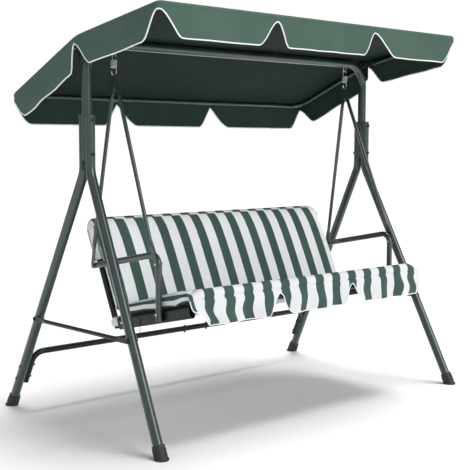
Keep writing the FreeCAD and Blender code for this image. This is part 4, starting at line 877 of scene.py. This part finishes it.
# The rounded lower corners: how high each one rises and how far in from the end it starts
SKIRT_LEFT_CORNER = (0.060, 0.075)
SKIRT_RIGHT_CORNER = (0.050, 0.034)
SKIRT_COLUMNS = 260
SKIRT_HANG_ROWS = 20
SKIRT_BEND_STEPS = 6
SKIRT_BEND_RADIUS = 0.020
SKIRT_BEND_EXTRA = 0.22
SKIRT_CROWN = seat_point(0, -0.43, 0.0785).z
SKIRT_BACK_ROWS = [(-0.424, 0.0772), (-0.430, 0.0785)]
SKIRT_HEAD_ROWS = len(SKIRT_BACK_ROWS) + SKIRT_BEND_STEPS + 1 + 3
SKIRT_ABOVE_CROWN = 0.002
SKIRT_BACK_RISE = 0.004
SEAM_HALF = 0.005
SEAM_TUCK = 0.0025
SEAM_STEP = 0.0005
SKIRT_END_PULL = 0.022
SKIRT_END_START = 0.60
SKIRT_END_RUN = SKIRT_X - SKIRT_END_START
LOOSE_FROM = 0.560
LOOSE_RUN = 0.10
STAND_OFF = 0.0090
BILLOW = 0.0085
SKIRT_RUFFLE = 0.006
MOST_FORWARD = 0.0220
SWAY = 0.0115
SWAY_FROM = 0.550
SWAY_RUN = 0.045
SWAY_SHARE = 0.62
SWAY_WAVER = 0.9
DRIFT = 0.026
DRIFT_FROM = 0.545
DRIFT_REACH = 0.11
SKIRT_CLOTH = 0.0012
SKIRT_WELT = 0.0022


def skirt_bottom(x):
    """Height of the lower edge: it rises to two notches and round the valance's two ends."""
    depth = min(smooth_step(abs(x - centre) / half) for centre, half in SKIRT_NOTCHES)
    lift, run = SKIRT_LEFT_CORNER if x < 0 else SKIRT_RIGHT_CORNER
    ending = 1 - smooth_step((SKIRT_X - abs(x)) / run)
    return SKIRT_BOTTOM + (1 - depth) * SKIRT_NOTCH_RISE + lift * ending


def skirt_wave(x, z):
    """How far the cloth swings forward and sideways at a place on the hanging valance."""
    loose = smooth_step((LOOSE_FROM - z) / LOOSE_RUN)
    forward = STAND_OFF + BILLOW * math.sin(x * 37 + 0.9 * math.sin(x * 11 + 0.7))
    forward += SKIRT_RUFFLE * ruffle(x, 14, z, 16, layer=2.2)
    phase = z * 55 + x * 9 + 0.6 + 1.6 * ruffle(x, 4, z, 6, layer=5.4)
    sideways = SWAY * math.sin(phase) * smooth_step((SWAY_FROM - z) / SWAY_RUN)
    sideways *= SWAY_SHARE + SWAY_WAVER * ruffle(x, 8, z, 5, layer=8.1)
    drift = DRIFT * smooth_step((DRIFT_FROM - z) / LOOSE_RUN) * math.exp((-SKIRT_X - x) / DRIFT_REACH)
    return min(forward, MOST_FORWARD) * loose, sideways + drift


def skirt_column(x):
    """The valance's section: from the pad over its front edge, the seam, then straight down."""
    column = [seat_point(x, y, lift).yz[:] for y, lift in SKIRT_BACK_ROWS]
    for k in range(SKIRT_BEND_STEPS + 1):
        left = 1 - k / SKIRT_BEND_STEPS
        angle = math.pi / 2 * (1 - left) + SKIRT_BEND_EXTRA * left
        y = SKIRT_PLANE + SKIRT_BEND_RADIUS - SKIRT_BEND_RADIUS * math.sin(angle)
        down = SKIRT_BEND_RADIUS * (1 - math.cos(angle)) - SKIRT_BACK_RISE * left
        column.append((y, SKIRT_CROWN + SKIRT_ABOVE_CROWN - down))
    seam = column[-1][1] - 2 * SEAM_HALF
    start = seam - SEAM_HALF
    column += [(SKIRT_PLANE, seam + SEAM_HALF), (SKIRT_PLANE + SEAM_TUCK, seam),
               (SKIRT_PLANE + SEAM_STEP, start)]
    low = skirt_bottom(x)
    column += [(SKIRT_PLANE, start + (low - start) * k / SKIRT_HANG_ROWS)
               for k in range(1, SKIRT_HANG_ROWS + 1)]
    return column


def make_skirt():
    """The valance as one sheet, with the welt round its two ends and lower edge."""
    xs = [-SKIRT_X + 2 * SKIRT_X * i / SKIRT_COLUMNS for i in range(SKIRT_COLUMNS + 1)]
    rows = SKIRT_HEAD_ROWS + SKIRT_HANG_ROWS
    verts = []
    for x in xs:
        pull = SKIRT_END_PULL * smooth_step((abs(x) - SKIRT_END_START) / SKIRT_END_RUN)
        for r, (y, z) in enumerate(skirt_column(x)):
            if r < SKIRT_HEAD_ROWS:
                drop = pull * (1 - r / SKIRT_HEAD_ROWS)
                verts.append(Vector((x, y + drop * 0.5, z - drop)))
            else:
                forward, sideways = skirt_wave(x, z)
                verts.append(Vector((x + sideways, y - forward, z)))
    obj = make_object("seat_skirt", verts, grid_faces(len(xs), rows), SKIRT_STRIPES_PAINTED_SHADE)
    write_cut(obj, [x for x in xs for _ in range(rows)])
    solidify(obj, SKIRT_CLOTH)
    apply_modifiers(obj)
    welt_start = SKIRT_HEAD_ROWS - 2
    left = verts[welt_start:rows - 1]
    bottom = verts[rows - 1::rows]
    right = verts[-rows + welt_start:-1]
    welt = rope("skirt_welt", left + bottom + right[::-1], SKIRT_WELT, PIPING)
    return obj, welt


skirt, skirt_welt = make_skirt()

# ---------------------------------------------------------------- sling, rear wrap and tie
SLING_HALF = 0.664
SLING_REAR = -0.014
SLING_DEPTH = 0.424
SLING_LIFT = 0.0262
SLING_SAG = 0.012
SLING_COLUMNS = 60
SLING_ROWS = 24
SLING_CLOTH = 0.0014
WRAP_HALF = 0.668
WRAP_ROUNDING = 0.012
WRAP_UP = -0.025
WRAP_RADIUS = 0.0235
WRAP_WAVE = 0.0018
WRAP_OVAL = 0.04
WRAP_SIDES = 28
TIE_DIAMETER = 0.0024


def make_sling():
    """The cloth that carries the seat's pad, stretched between the side rails with a little sag."""
    verts = []
    for i in range(SLING_COLUMNS + 1):
        x = -SLING_HALF + 2 * SLING_HALF * i / SLING_COLUMNS
        across = 1 - (abs(x) / SLING_HALF) ** SAG_SPREAD
        for k in range(SLING_ROWS + 1):
            y = SLING_REAR - SLING_DEPTH * k / SLING_ROWS
            sag = SLING_SAG * across * math.sin(math.pi * k / SLING_ROWS)
            verts.append(seat_point(x, y, SLING_LIFT - sag))
    obj = make_object("seat_sling_cloth", verts, grid_faces(SLING_COLUMNS + 1, SLING_ROWS + 1), SLING)
    fix_normals(obj)
    solidify(obj, SLING_CLOTH)
    apply_modifiers(obj)
    return obj


def make_wrap():
    """The cover's lower rear hem, rolled round the lower tube and gathered at its ends."""
    centre = back_point(0, WRAP_UP, 0)

    def section(x):
        inset = end_inset(x, WRAP_HALF, WRAP_ROUNDING)
        points = []
        for k in range(WRAP_SIDES):
            angle = 2 * math.pi * k / WRAP_SIDES
            across, up = math.cos(angle), math.sin(angle)
            radius = WRAP_RADIUS - inset + WRAP_WAVE * ruffle(x, 10, across, 1.5, layer=up * 1.5)
            radius *= 1 + WRAP_OVAL * math.cos(2 * angle)
            points.append(centre + Vector((x, across * radius, up * radius)))
        return points

    stations = end_stations(WRAP_HALF, WRAP_ROUNDING, steps=6, spacing=0.022)
    obj = loft("rear_wrap", section, stations, BACKING)
    subdivide(obj)
    apply_modifiers(obj)
    return obj


def make_tie():
    """The cover's tie: a short limp cord hanging at the left rail, with the points of its route."""
    low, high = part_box("cover_tie")
    x, y = (low.x + high.x) / 2, (low.y + high.y) / 2
    drops = [0.0, 0.2, 0.45, 0.7, 1.0]
    sways = [0.0, 0.0, 0.0030, -0.0012, 0.0015]
    route = [Vector((x, y + sway, high.z + (low.z - high.z) * drop)) for drop, sway in zip(drops, sways)]
    curve = bpy.data.curves.new("tie_cord", "CURVE")
    curve.dimensions = "3D"
    curve.bevel_depth = TIE_DIAMETER / 2
    curve.bevel_resolution = 4
    curve.use_fill_caps = True
    spline = curve.splines.new("NURBS")
    spline.points.add(len(route) - 1)
    for point, place in zip(spline.points, route):
        point.co = (*place, 1.0)
    spline.order_u = 3
    spline.use_endpoint_u = True
    curve.materials.append(SLING)
    obj = bpy.data.objects.new("tie_cord", curve)
    bpy.context.scene.collection.objects.link(obj)
    return obj, route


sling = make_sling()
wrap = make_wrap()
tie, tie_route = make_tie()

for piece in (back_pad, hood, *hood_ends, seat_pad, skirt, skirt_welt, sling, wrap, tie):
    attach(piece, "seat")
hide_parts("back_cushion")
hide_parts("seat_cushion")
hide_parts("seat_valance")
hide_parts("valance_piping")
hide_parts("seat_sling")
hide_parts("cover_rear_roll")
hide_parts("cover_tie")

# ---------------------------------------------------------------- floor, light and camera
FLOOR_HALF = 40
FLOOR_DARK = (0.86, 0.86, 0.86)
FLOOR_LIGHT = (0.88, 0.88, 0.88)
AMBIENT = 0.33
BACKDROP = 1.02
CAMERA_PLACE = Vector((-3.0044, -3.2413, 1.1062))
CAMERA_YAW = math.radians(42.5)
CAMERA_PITCH = -0.0897
CAMERA_ROLL = 0.0021
CAMERA_SENSOR = 36.0
CAMERA_LENS = 77.52026


def make_floor():
    shader = Shader("studio_floor", roughness=0.6)
    shader.color(shader.ramp(shader.noise(scale=0.6), FLOOR_DARK, FLOOR_LIGHT))
    corners = [(-1, -1), (1, -1), (1, 1), (-1, 1)]
    verts = [(x * FLOOR_HALF, y * FLOOR_HALF, 0) for x, y in corners]
    floor = make_object("floor", verts, [(0, 1, 2, 3)], shader.material, smooth=False)


def sun(name, azimuth, elevation, strength, softness):
    """A soft distant light; azimuth is clockwise from the bench's front, seen from above."""
    light = bpy.data.lights.new(name, "SUN")
    light.energy = strength
    light.angle = math.radians(softness)
    lamp = bpy.data.objects.new(name, light)
    bpy.context.scene.collection.objects.link(lamp)
    flat = math.cos(math.radians(elevation))
    turn = math.radians(azimuth)
    away = Vector((-math.sin(turn) * flat, -math.cos(turn) * flat, math.sin(math.radians(elevation))))
    lamp.rotation_euler = away.to_track_quat("Z", "Y").to_euler()


def make_world():
    """White behind the object, and a dimmer white that lights it."""
    world = bpy.data.worlds.new("studio")
    world.use_nodes = True
    tree = world.node_tree
    background = tree.nodes["Background"]
    background.inputs["Color"].default_value = (1, 1, 1, 1)
    path = tree.nodes.new("ShaderNodeLightPath")
    strength = tree.nodes.new("ShaderNodeMapRange")
    strength.inputs["To Min"].default_value = AMBIENT
    strength.inputs["To Max"].default_value = BACKDROP
    tree.links.new(path.outputs["Is Camera Ray"], strength.inputs["Value"])
    tree.links.new(strength.outputs["Result"], background.inputs["Strength"])
    bpy.context.scene.world = world


def make_camera():
    lens = bpy.data.cameras.new("camera")
    lens.sensor_width = CAMERA_SENSOR
    lens.lens = CAMERA_LENS
    camera = bpy.data.objects.new("camera", lens)
    bpy.context.scene.collection.objects.link(camera)
    camera.matrix_world = (Matrix.Translation(CAMERA_PLACE) @ Matrix.Rotation(-CAMERA_YAW, 4, "Z")
                           @ Matrix.Rotation(math.pi / 2 + CAMERA_PITCH, 4, "X")
                           @ Matrix.Rotation(CAMERA_ROLL, 4, "Z"))
    bpy.context.scene.camera = camera


make_floor()
sun("overhead", azimuth=-92, elevation=76, strength=2.85, softness=30)
sun("front", azimuth=-12, elevation=25, strength=1.80, softness=40)
sun("left", azimuth=70, elevation=25, strength=0.30, softness=60)
make_world()
make_camera()
bpy.context.scene.view_settings.view_transform = "Standard"
